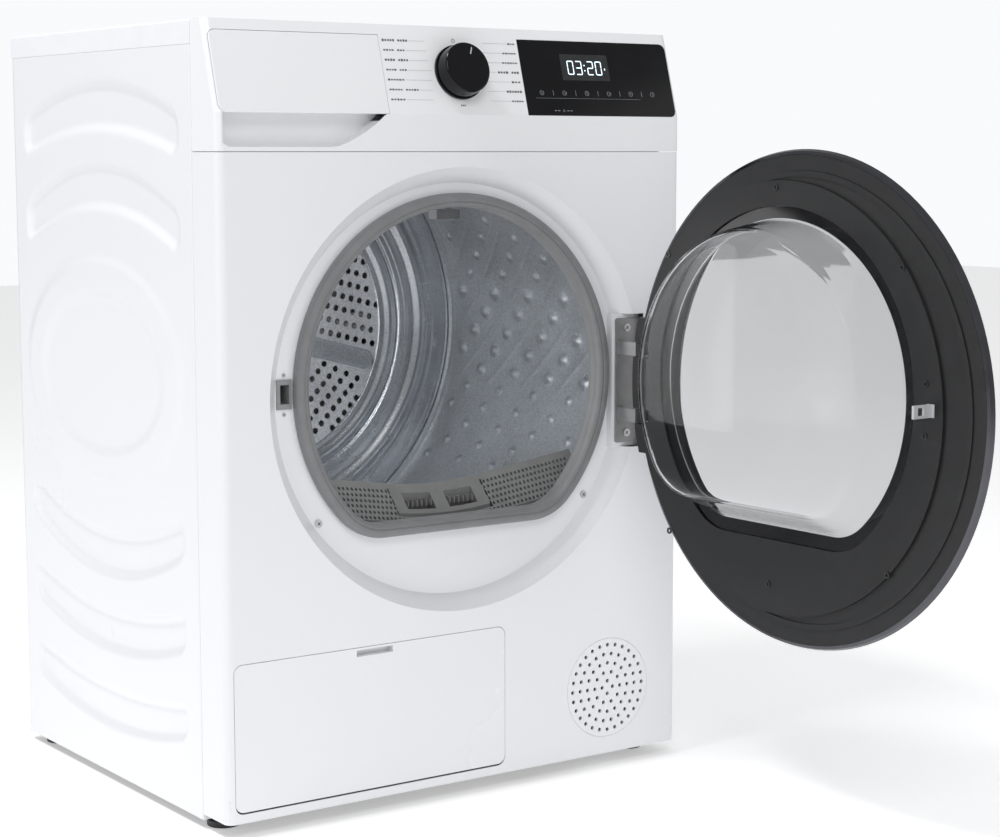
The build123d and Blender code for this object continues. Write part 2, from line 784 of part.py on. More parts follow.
with BuildPart() as door_frame:
    with BuildSketch(door_facing(rim_y - 3.5)):
        with Locations((ring_x, ring_z)):
            Circle(rim_radius)
    extrude(amount=-3.5)
    with BuildSketch(door_facing(rim_y)):
        with Locations((0, recess_z)):
            Circle(land_radius)
    extrude(amount=-(land_y - rim_y))
    with BuildSketch(door_facing(rim_y)):
        with Locations((ring_x, ring_z)):
            Circle(239)
            Circle(233, mode=Mode.SUBTRACT)
    extrude(amount=-1.5)
    with BuildSketch(door_facing(ear_front_y)):
        add(ear_outline(0))
    extrude(amount=rim_y - ear_front_y, dir=tuple(-door_facing(0).z_dir))
    with BuildSketch(door_facing(-284)):
        add(window(3))
    extrude(amount=rim_y + 284, dir=tuple(-door_facing(0).z_dir))
    with BuildSketch(door_facing(land_y + 1)):
        add(window(0))
    extrude(amount=60, mode=Mode.SUBTRACT)
    for z in arm_heights:
        with BuildSketch(door_plan(z - notch_half)):
            (x_middle, x_length), (y_middle, y_length) = span(notch_x - 1.2, half), span(notch_y - 1.2, -240)
            with Locations((x_middle, y_middle)):
                Rectangle(x_length, y_length)
        extrude(amount=2 * notch_half, mode=Mode.SUBTRACT)
        with BuildSketch(door_plan(z - 17)):
            with Locations((hinge_x, hinge_y)):
                Circle(pin_radius)
        extrude(amount=34, mode=Mode.SUBTRACT)
save(door_frame, "door_frame")

with BuildPart() as door_hinge_leaf:
    for z in arm_heights:
        with BuildSketch(door_plan(z - notch_half)):
            (x_middle, x_length) = span(notch_x - 1.2, 238)
            with Locations((x_middle, notch_y - 0.6)):
                Rectangle(x_length, 1.2)
            (y_middle, y_length) = span(notch_y - 1.2, rim_y)
            with Locations((notch_x - 0.6, y_middle)):
                Rectangle(1.2, y_length)
        extrude(amount=2 * notch_half)
        with BuildSketch(door_plan(z - 17)):
            with Locations((hinge_x, hinge_y)):
                Circle(pin_radius)
        extrude(amount=34)
save(door_hinge_leaf, "door_hinge_leaf")

ring_axis = Axis(
    (*turned(ring_x, 0), ring_z),
    tuple(door_facing(0).z_dir),
)
with BuildPart() as door_ring:
    with BuildSketch(door_plan(ring_z)):
        with BuildLine():
            Polyline(
                (ring_x + rim_radius + 0.3, rim_y),
                (ring_x + 259.0, rim_y - 1.2),
                (ring_x + 261.0, rim_y - 6.0),
                (ring_x + glass_radius + 0.4, -290.5),
                (ring_x + glass_radius + 0.4, -286.8),
                (ring_x + rim_radius + 0.3, -264.0),
                close=True,
            )
        make_face()
    revolve(axis=ring_axis)
    with BuildSketch(door_facing(-300)):
        add(ear_outline(0.3))
    extrude(amount=-50, mode=Mode.SUBTRACT)
save(door_ring, "door_ring")

glass_front_y = -298.0
glass_curve = 3600.0
glass_thickness = 3.0


def glass_arc(depth):
    """Start, middle and end of the dome's section, depth behind its front skin."""
    return [
        (ring_x + r, glass_front_y + depth + glass_curve - sqrt(glass_curve ** 2 - r ** 2))
        for r in (0, glass_radius / 2, glass_radius)
    ]


with BuildPart() as door_glass:
    with BuildSketch(door_plan(ring_z)):
        with BuildLine():
            outer_arc = ThreePointArc(*glass_arc(0))
            inner_arc = ThreePointArc(*glass_arc(glass_thickness))
            Line(outer_arc @ 0, inner_arc @ 0)
            Line(outer_arc @ 1, inner_arc @ 1)
        make_face()
    revolve(axis=ring_axis)
save(door_glass, "door_glass")

bowl_end_y = -197.5
bowl_wall = 3.5
with BuildPart() as door_bowl:
    with BuildSketch(door_facing(rim_y - 4)):
        add(window(-0.4))
    extrude(amount=-3)
    for inset, mode in ((0.0, Mode.ADD), (bowl_wall, Mode.SUBTRACT)):
        with BuildSketch(door_facing(rim_y - 1 - 4 * bool(inset))):
            add(d_shape(177.5 - inset, 316 + inset, 60 - inset, window_z))
        with BuildSketch(door_facing(bowl_end_y - inset)):
            add(d_shape(168 - inset, 345 + inset, 55 - inset, window_z))
        loft(mode=mode)
save(door_bowl, "door_bowl")

with BuildPart() as window_trim:
    with BuildSketch(door_facing(rim_y - 1)):
        add(window(-0.4))
        add(d_shape(178.2, 315.3, 60.7, window_z), mode=Mode.SUBTRACT)
    extrude(amount=-1.5)
save(window_trim, "window_trim")

with BuildPart() as door_hook:
    with BuildSketch(door_plan(452)):
        with Locations((-213.5, (land_y - 229) / 2)):
            Rectangle(3, -229 - land_y)
        with Locations((-213.5, land_y + 0.6)):
            Rectangle(9, 1.2)
    extrude(amount=13)
    with BuildSketch(door_plan(454.5)):
        with Locations((-213.5, -239)):
            Rectangle(6, 9)
    extrude(amount=8, mode=Mode.SUBTRACT)
save(door_hook, "door_hook")

# Screw heads in the door frame, about the window's centre: (x, z)
door_screw_places = (
    (-172, 596), (8, 672), (178, 596), (-160, 288), (12, 252), (172, 288), (-206, 433), (-206, 484),
)
with BuildPart() as door_screws:
    with BuildSketch(door_facing(land_y)):
        with Locations(*door_screw_places):
            Circle(3.6)
            RegularPolygon(1.8, 6, mode=Mode.SUBTRACT)
    extrude(amount=-1.0)
save(door_screws, "door_screws")

# ===================================================== service flap and heat exchanger bay
with BuildPart() as service_flap:
    with BuildSketch(facing(front)):
        flap_z, flap_height = span(flap_bottom, flap_top)
        with Locations((flap_x, flap_z)):
            RectangleRounded(flap_width, flap_height, 9.5)
    extrude(amount=-2.5)
    for x_range, pin_x in (
        ((flap_left + 1, flap_left + 4), (flap_left - 5, flap_left + 3)),
        ((flap_right - 4, flap_right - 1), (flap_right - 3, flap_right + 5)),
    ):
        block(x_range, (front + 2, flap_axis_y + 2.5), (flap_axis_z - 3, flap_axis_z + 3))
        pin_middle, pin_length = span(*pin_x)
        with Locations(Location((pin_middle, flap_axis_y, flap_axis_z), (0, 90, 0))):
            Cylinder(1.5, pin_length)
    block((-142.5, -94), (front + 2, front + 10.5), (173, 183))
    block((-141, -95.5), (front - 1, front + 9.3), (174.5, 181.5), Mode.SUBTRACT)
save(service_flap, "service_flap")

cover_latch_places = {"cover_latch_left": -262.0, "cover_latch_right": 26.0}
cover_latch_z = 104.0
with BuildPart() as exchanger_cover:
    block((-282, 46), (-240, -236), (30, 178))
    block((-279, 43), (-241, -238), (33, 175), Mode.SUBTRACT)
    for x in cover_latch_places.values():
        rod(x, cover_latch_z, 8, (-240, -238))
        rod(x, cover_latch_z, 3 + running_fit, (-245, -230), Mode.SUBTRACT)
    for x in (-190, -118, -46):
        block((x - 1.5, x + 1.5), (-240, -238), (33, 175))
save(exchanger_cover, "exchanger_cover")

for name, x in cover_latch_places.items():
    with BuildPart() as cover_latch:
        rod(x, cover_latch_z, 9, (-244.5, -240.4))
        block((x - 4, x + 4), (-244.5, -240.4), (cover_latch_z, cover_latch_z + 26))
        block((x - 1.5, x + 1.5), (-247.5, -244.5), (cover_latch_z - 7, cover_latch_z + 24))
        rod(x, cover_latch_z, 3, (-240.4, -233))
    save(cover_latch, name)

with BuildPart() as foam_filter:
    block((-276, 38), (-230, -216), (64, 152))
    block((-268, 30), (-231, -226), (72, 144), Mode.SUBTRACT)
save(foam_filter, "foam_filter")

fin_pitch = 12.0
with BuildPart() as heat_exchangers:
    for y_range in ((-208, -128), (-118, -38)):
        y_middle, y_length = span(*y_range)
        with Locations((-119, y_middle, 92)):
            with GridLocations(fin_pitch, 0, 26, 1):
                Box(1.2, y_length, 112)
        for z in (52, 79, 106, 133):
            for y in (y_middle - 22, y_middle + 22):
                with Locations(Location((-119, y, z), (0, 90, 0))):
                    Cylinder(4.5, 314)
save(heat_exchangers, "heat_exchangers")

pipe_radius = 4.0
pipe_entries = ((-70.0, 133.0), (-146.0, 106.0))
with BuildPart() as air_ducts:
    block((-284, 48), (-232, -14), (62.3, 160))
    block((-281, 45), (-233, -17), (60, 157), Mode.SUBTRACT)
    block((-60, 40), (-18, -10), (60, 92), Mode.SUBTRACT)
    for y, z in pipe_entries:
        with Locations(Location((46, y, z), (0, 90, 0))):
            Cylinder(pipe_radius + 0.5, 8, mode=Mode.SUBTRACT)
    rod(motor_x, motor_z, 76, (142, 202))
    rod(motor_x, motor_z, 73, (145, 199), Mode.SUBTRACT)
    rod(motor_x, motor_z, 40, (140, 146), Mode.SUBTRACT)
    block((-60, 40), (-13.8, 199), (32, 92))
    block((-57, 37), (-14, 196), (35, 89), Mode.SUBTRACT)
save(air_ducts, "air_ducts")

compressor_x, compressor_y = 206.0, -96.0
with BuildPart() as compressor:
    with Locations((compressor_x, compressor_y, 105)):
        Cylinder(50, 130)
    fillet(compressor.edges().filter_by(GeomType.CIRCLE), 18)
    with Locations((compressor_x, compressor_y, 29)):
        Cylinder(42, 24)
    with Locations((compressor_x, compressor_y, 175)):
        Cylinder(14, 24)
    with Locations((compressor_x - 76, compressor_y + 6, 96)):
        Cylinder(20, 90)
    with Locations(Location((compressor_x - 55, compressor_y + 5, 110), (0, 90, 0))):
        Cylinder(4, 40)
save(compressor, "compressor")

pipe_routes = (
    (
        (compressor_x, compressor_y, 187.2),
        (compressor_x, compressor_y, 200),
        (compressor_x - 60, compressor_y - 20, 200),
        (62, pipe_entries[0][0], 170),
        (62, *pipe_entries[0]),
        (39, *pipe_entries[0]),
    ),
    (
        (compressor_x - 76, compressor_y + 6, 141.2),
        (compressor_x - 76, compressor_y + 6, 170),
        (76, pipe_entries[1][0], 170),
        (76, *pipe_entries[1]),
        (39, *pipe_entries[1]),
    ),
)
with BuildPart() as refrigerant_pipes:
    for route in pipe_routes:
        with BuildLine() as path:
            FilletPolyline(*route, radius=9)
        with BuildSketch(Plane(origin=path.line @ 0, z_dir=path.line % 0)):
            Circle(pipe_radius)
        sweep(path=path.line)
save(refrigerant_pipes, "refrigerant_pipes")

# ===================================================== cooling grille and fan
with BuildPart() as cooling_grille:
    with BuildSketch(facing(front)):
        with Locations((grille_x, grille_z)):
            Circle(grille_radius)
            for ring, count in enumerate((4, 10, 16, 22, 28)):
                with PolarLocations(7.5 + 10.6 * ring, count):
                    Circle(2.3, mode=Mode.SUBTRACT)
    extrude(amount=-2.5)
    with BuildSketch(facing(front + 2.5)):
        with Locations((grille_x, grille_z)):
            Circle(62)
            Circle(57, mode=Mode.SUBTRACT)
    extrude(amount=-22)
    with BuildSketch(facing(front + 22)):
        with Locations((grille_x, grille_z)):
            Circle(16)
            for angle in (0, 60, 120):
                Rectangle(116, 5, rotation=angle)
    extrude(amount=-2.5)
    rod(grille_x, grille_z, 2 + running_fit, (front + 18, front + 30), Mode.SUBTRACT)
save(cooling_grille, "cooling_grille")

with BuildPart() as cooling_fan:
    rod(grille_x, grille_z, 15, (front + 6, front + 20))
    rod(grille_x, grille_z, 2, (front + 19, front + 24.5))
    with BuildSketch(facing(front + 8)):
        with Locations((grille_x, grille_z)):
            with PolarLocations(31, 7):
                Rectangle(38, 11)
    extrude(amount=-9)
save(cooling_fan, "cooling_fan")

# ===================================================== drive
belt_drum = drum_radius + belt_gap
belt_pulley = pulley_radius + belt_gap
# The idler rests against the outside of the belt's lower strand, close to the motor pulley.
strand_angle = atan2(drum_z - motor_z, -motor_x) + asin(
    (belt_drum - belt_pulley) / hypot(motor_x, drum_z - motor_z)
)
idler_out = belt_pulley + belt_thickness + belt_gap + idler_radius
idler_along = 50.0
idler_x = motor_x - idler_out * sin(strand_angle) + idler_along * cos(strand_angle)
idler_z = motor_z + idler_out * cos(strand_angle) + idler_along * sin(strand_angle)
with BuildPart() as motor_stator:
    rod(motor_x, motor_z, 48, (16, 128))
    rod(motor_x, motor_z, 40, (20, 124), Mode.SUBTRACT)
    rod(motor_x, motor_z, 6 + running_fit, (10, 130), Mode.SUBTRACT)
    block((motor_x - 52, motor_x + 52), (30, 114), (17, 62))
    block((motor_x - 46, motor_x + 46), (29, 115), (16, 58), Mode.SUBTRACT)
    rod(motor_x, motor_z, 40, (20, 124), Mode.SUBTRACT)
    rod(idler_x, idler_z, 4, (-7.5, 15.8))
    block((idler_x - 5, idler_x + 5), (9, 13), (17, idler_z))
    block((idler_x - 5, idler_x + 5), (9, 30), (17, 20))
    block((idler_x - 5, motor_x - 46), (26, 36), (17, 20))
save(motor_stator, "motor_stator")

with BuildPart() as motor_rotor:
    rod(motor_x, motor_z, 6, (-9, 188))
    rod(motor_x, motor_z, pulley_radius, (-8, 8))
    rod(motor_x, motor_z, 38, (28, 116))
    rod(motor_x, motor_z, 64, (188, 190))
    rod(motor_x, motor_z, 14, (150, 188))
    with BuildSketch(facing(152)):
        with Locations((motor_x, motor_z)):
            with PolarLocations(54, 18):
                Rectangle(18, 2, rotation=35)
    extrude(amount=-36.5)
save(motor_rotor, "motor_rotor")


with BuildPart() as drum_belt:
    for grow, mode in ((belt_thickness, Mode.ADD), (0.0, Mode.SUBTRACT)):
        with BuildSketch(facing(-belt_width / 2)):
            with Locations((0, drum_z)):
                Circle(belt_drum + grow)
            with Locations((motor_x, motor_z)):
                Circle(belt_pulley + grow)
            make_hull()
        extrude(amount=-belt_width, mode=mode)
save(drum_belt, "drum_belt")

with BuildPart() as idler_pulley:
    rod(idler_x, idler_z, idler_radius, (-7, 7))
    rod(idler_x, idler_z, 4 + running_fit, (-8, 8), Mode.SUBTRACT)
save(idler_pulley, "idler_pulley")

for name, x in (("left_roller", -roller_x), ("right_roller", roller_x)):
    with BuildPart() as roller:
        rod(x, roller_z, roller_radius, (-186, -166))
        rod(x, roller_z, 5 + running_fit, (-187, -165), Mode.SUBTRACT)
    save(roller, name)


# ===================================================== condensate, drain, cable entry
with BuildPart() as condensate_pump:
    block((-246, -180), (120, 186), (17, 52))
    with Locations((-213, 153, 72)):
        Cylinder(24, 40)
    with Locations(Location((-213, 184, 78), (90, 0, 0))):
        Cylinder(5, 24)
save(condensate_pump, "condensate_pump")

with BuildPart() as drain_spigot:
    rod(spigot_x, spigot_z, 14, (rear, rear + 2))
    rod(spigot_x, spigot_z, 9.5, (rear - 26, rear + 2))
    rod(spigot_x, spigot_z, 6.5, (rear + 2, rear + 16))
    rod(spigot_x, spigot_z, 4.5, (rear - 27, rear + 17), Mode.SUBTRACT)
save(drain_spigot, "drain_spigot")

with BuildPart() as cable_gland:
    rod(gland_x, gland_z, 13, (rear, rear + 2.5))
    rod(gland_x, gland_z, 8.8, (rear - 10, rear + 5))
    rod(gland_x, gland_z, 4.2, (rear - 11, rear + 6), Mode.SUBTRACT)
save(cable_gland, "cable_gland")

# ===================================================== feet and screws
for name, (x, y) in foot_places.items():
    with BuildPart() as foot:
        with Locations((x, y, 4)):
            Cylinder(18, 8)
        fillet(foot.edges().filter_by(GeomType.CIRCLE), 1.5)
        with Locations((x, y, 20.5)):
            Cylinder(4, 29)
    save(foot, f"{name}_foot")

# Each entry: depth of the seat, head height, head radius and the (x, z) places.
head_groups = (
    (floor_y, -1.0, 2.2, ((-214.5, 478.6), (-214.5, 437.4))),
    (floor_y, -1.6, 4.2, ((-174.7, 319), (174.7, 319))),
    (plate_y[0], -1.6, 4.5, ((227.5, 509), (227.5, 388))),
    (rear, 1.6, 4.0, tuple((x, z) for x in (-285, 285) for z in (60, 260, 460, 660, 790))),
)
with BuildPart() as cabinet_screws:
    for seat_y, height, radius, places in head_groups:
        with BuildSketch(facing(seat_y)):
            with Locations(*places):
                Circle(radius)
        extrude(amount=-height)
    for x, y in foot_places.values():
        with BuildSketch(Plane.XY.offset(9.8)):
            with Locations((x, y)):
                RegularPolygon(7.5, 6)
                Circle(4 + running_fit, mode=Mode.SUBTRACT)
        extrude(amount=4)
save(cabinet_screws, "cabinet_screws")
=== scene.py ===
"""Finishes and fine detail for a front-loading clothes dryer, laid out as a Blender add-on."""

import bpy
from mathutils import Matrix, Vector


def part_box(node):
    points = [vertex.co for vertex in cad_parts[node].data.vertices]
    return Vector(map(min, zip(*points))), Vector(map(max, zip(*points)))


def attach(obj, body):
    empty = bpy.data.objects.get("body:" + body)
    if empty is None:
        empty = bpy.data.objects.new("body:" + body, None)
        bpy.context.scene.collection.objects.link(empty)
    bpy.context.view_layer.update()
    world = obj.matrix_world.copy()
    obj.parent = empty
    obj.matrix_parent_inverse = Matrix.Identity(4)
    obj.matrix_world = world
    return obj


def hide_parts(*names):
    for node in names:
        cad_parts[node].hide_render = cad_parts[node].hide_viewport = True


bl_info = {
    "name": "Clothes Dryer",
    "version": (1, 0, 0),
    "blender": (4, 5, 0),
    "location": "View3D > Sidebar > Dryer",
    "description": "Builds the pressed, moulded and printed detail of a clothes dryer around its CAD frame",
    "category": "Object",
}

import math

import bpy
import numpy as np
from mathutils import Matrix

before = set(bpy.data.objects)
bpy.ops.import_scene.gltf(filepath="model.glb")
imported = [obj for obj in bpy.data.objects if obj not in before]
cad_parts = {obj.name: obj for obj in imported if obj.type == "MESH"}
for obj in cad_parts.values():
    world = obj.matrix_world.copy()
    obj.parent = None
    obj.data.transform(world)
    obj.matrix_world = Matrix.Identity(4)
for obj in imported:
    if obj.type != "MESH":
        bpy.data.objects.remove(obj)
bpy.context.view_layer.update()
MM = 0.001


# ------------------------------------------------------------------ measures
def measured(node):
    """Low and high corner of a CAD node as plain arrays."""
    low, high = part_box(node)
    return np.array(low), np.array(high)


drum_low, drum_high = measured("drum_shell")
seal_low, seal_high = measured("door_seal")
side_low, side_high = measured("left_side_panel")
housing_low, housing_high = measured("filter_housing")
panel_low, panel_high = measured("control_panel")
knob_low, knob_high = measured("program_knob")

DRUM_AXIS_Z = float(drum_low[2] + drum_high[2]) / 2
FASCIA_FOOT = np.array([0.0, panel_low[1], 0.748])
FASCIA_TILT = math.atan2(0.024, 0.083)
HINGE = np.array([0.2365, -0.2785])
OPEN_ANGLE = math.radians(91.7)
MOUTH_Z = 0.460
WINDOW_Z = 0.462


# ------------------------------------------------------------------ settings
class DryerSizes(bpy.types.PropertyGroup):
    """Sizes of the pieces built here."""

    drum_radius: bpy.props.FloatProperty(
        name="Drum radius", description="Inner radius of the drum wall",
        default=float(drum_high[0] - drum_low[0]) / 2 - 0.0015, unit="LENGTH", subtype="DISTANCE",
    )
    press_depth: bpy.props.FloatProperty(
        name="Pressing depth", description="How deep the side panels' channels are pressed",
        default=0.0048, unit="LENGTH", subtype="DISTANCE",
    )
    ring_height: bpy.props.FloatProperty(
        name="Oval height", description="How far the side panels' oval ring stands out",
        default=0.0024, unit="LENGTH", subtype="DISTANCE",
    )
    air_hole: bpy.props.FloatProperty(
        name="Air hole radius", description="Radius of the holes in the drum's rear wall",
        default=0.0041, unit="LENGTH", subtype="DISTANCE",
    )
    lint_hole: bpy.props.FloatProperty(
        name="Lint hole radius", description="Radius of the holes over the lint filter",
        default=0.0016, unit="LENGTH", subtype="DISTANCE",
    )
    window_wall: bpy.props.FloatProperty(
        name="Window wall", description="Wall thickness of the clear window bowl",
        default=0.003, unit="LENGTH", subtype="DISTANCE",
    )


def tint(label, words, colour):
    """A colour setting with its default."""
    return bpy.props.FloatVectorProperty(
        name=label, description=words, default=colour, size=3, min=0.0, max=1.0, subtype="COLOR",
    )


class DryerColours(bpy.types.PropertyGroup):
    """Main colours of the dryer, as linear RGB."""

    enamel: tint("Enamel", "White of the sheet metal casing", (0.84, 0.85, 0.87))
    plastic: tint("White plastic", "White of the control panel and flap", (0.85, 0.86, 0.875))
    drum: tint("Drum", "Galvanised drum sheet", (0.36, 0.38, 0.405))
    seal: tint("Seal", "Door seal rubber", (0.20, 0.205, 0.21))
    lint: tint("Filter plastic", "Lint filter and its housing", (0.225, 0.225, 0.225))
    door: tint("Door frame", "Inner frame of the door", (0.018, 0.018, 0.019))
    print: tint("Print", "Marks on the control panel", (0.06, 0.06, 0.065))
    light: tint("Display light", "Lit segments of the display", (0.75, 0.9, 1.0))


# ------------------------------------------------------------------ materials
def finish(name, colour, rough, metal=0.0, mottle=(18.0, 0.03), grain=(900.0, 0.04), spread=0.06, **sockets):
    """A procedural finish: slow mottling of the colour, a fine grain in the bump and a little
    unevenness in the roughness, all read from Object coordinates. sockets are constants."""
    made = bpy.data.materials.new(name)
    made.use_nodes = True
    nodes, links = made.node_tree.nodes, made.node_tree.links
    shader = nodes["Principled BSDF"]
    shader.inputs["Metallic"].default_value = metal
    for socket, value in sockets.items():
        shader.inputs[socket.replace("_", " ")].default_value = value
    place = nodes.new("ShaderNodeTexCoord")
    slow = nodes.new("ShaderNodeTexNoise")
    slow.inputs["Scale"].default_value = mottle[0]
    slow.inputs["Detail"].default_value = 5.0
    links.new(place.outputs["Object"], slow.inputs["Vector"])
    ramp = nodes.new("ShaderNodeValToRGB")
    shade = np.array(colour)
    ramp.color_ramp.elements[0].position = 0.3
    ramp.color_ramp.elements[1].position = 0.7
    ramp.color_ramp.elements[0].color = (*np.clip(shade * (1 - mottle[1]), 0, 1), 1.0)
    ramp.color_ramp.elements[1].color = (*np.clip(shade * (1 + mottle[1]), 0, 1), 1.0)
    links.new(slow.outputs["Fac"], ramp.inputs["Fac"])
    links.new(ramp.outputs["Color"], shader.inputs["Base Color"])
    fine = nodes.new("ShaderNodeTexNoise")
    fine.inputs["Scale"].default_value = grain[0]
    fine.inputs["Detail"].default_value = 3.0
    links.new(place.outputs["Object"], fine.inputs["Vector"])
    uneven = nodes.new("ShaderNodeMapRange")
    uneven.inputs["From Min"].default_value = 0.3
    uneven.inputs["From Max"].default_value = 0.7
    uneven.inputs["To Min"].default_value = max(0.02, rough - spread / 2)
    uneven.inputs["To Max"].default_value = min(1.0, rough + spread / 2)
    links.new(slow.outputs["Fac"], uneven.inputs["Value"])
    links.new(uneven.outputs["Result"], shader.inputs["Roughness"])
    bump = nodes.new("ShaderNodeBump")
    bump.inputs["Strength"].default_value = grain[1]
    bump.inputs["Distance"].default_value = 0.0006
    links.new(fine.outputs["Fac"], bump.inputs["Height"])
    links.new(bump.outputs["Normal"], shader.inputs["Normal"])
    return made


def speckle(made, scale, depth, strength):
    """Adds a spangled layer to a finish: Voronoi cells darken and lighten its colour."""
    nodes, links = made.node_tree.nodes, made.node_tree.links
    shader = nodes["Principled BSDF"]
    place = next(n for n in nodes if n.bl_idname == "ShaderNodeTexCoord")
    old = shader.inputs["Base Color"].links[0].from_socket
    cells = nodes.new("ShaderNodeTexVoronoi")
    cells.inputs["Scale"].default_value = scale
    links.new(place.outputs["Object"], cells.inputs["Vector"])
    value = nodes.new("ShaderNodeRGBToBW")
    links.new(cells.outputs["Color"], value.inputs["Color"])
    spread = nodes.new("ShaderNodeMapRange")
    spread.inputs["To Min"].default_value = 1.0 - depth
    spread.inputs["To Max"].default_value = 1.0 + depth
    links.new(value.outputs["Val"], spread.inputs["Value"])
    blend = nodes.new("ShaderNodeVectorMath")
    blend.operation = "SCALE"
    links.new(old, blend.inputs[0])
    links.new(spread.outputs["Result"], blend.inputs["Scale"])
    links.new(blend.outputs["Vector"], shader.inputs["Base Color"])
    bump = next(n for n in nodes if n.bl_idname == "ShaderNodeBump")
    bump.inputs["Strength"].default_value = strength
    return made


def lit(name, colour, power):
    """A softly uneven glowing finish for display segments."""
    made = finish(name, colour, 0.4, mottle=(300.0, 0.08), grain=(1500.0, 0.02))
    shader = made.node_tree.nodes["Principled BSDF"]
    shader.inputs["Emission Color"].default_value = (*colour, 1.0)
    shader.inputs["Emission Strength"].default_value = power
    return made


FINISHES = {}


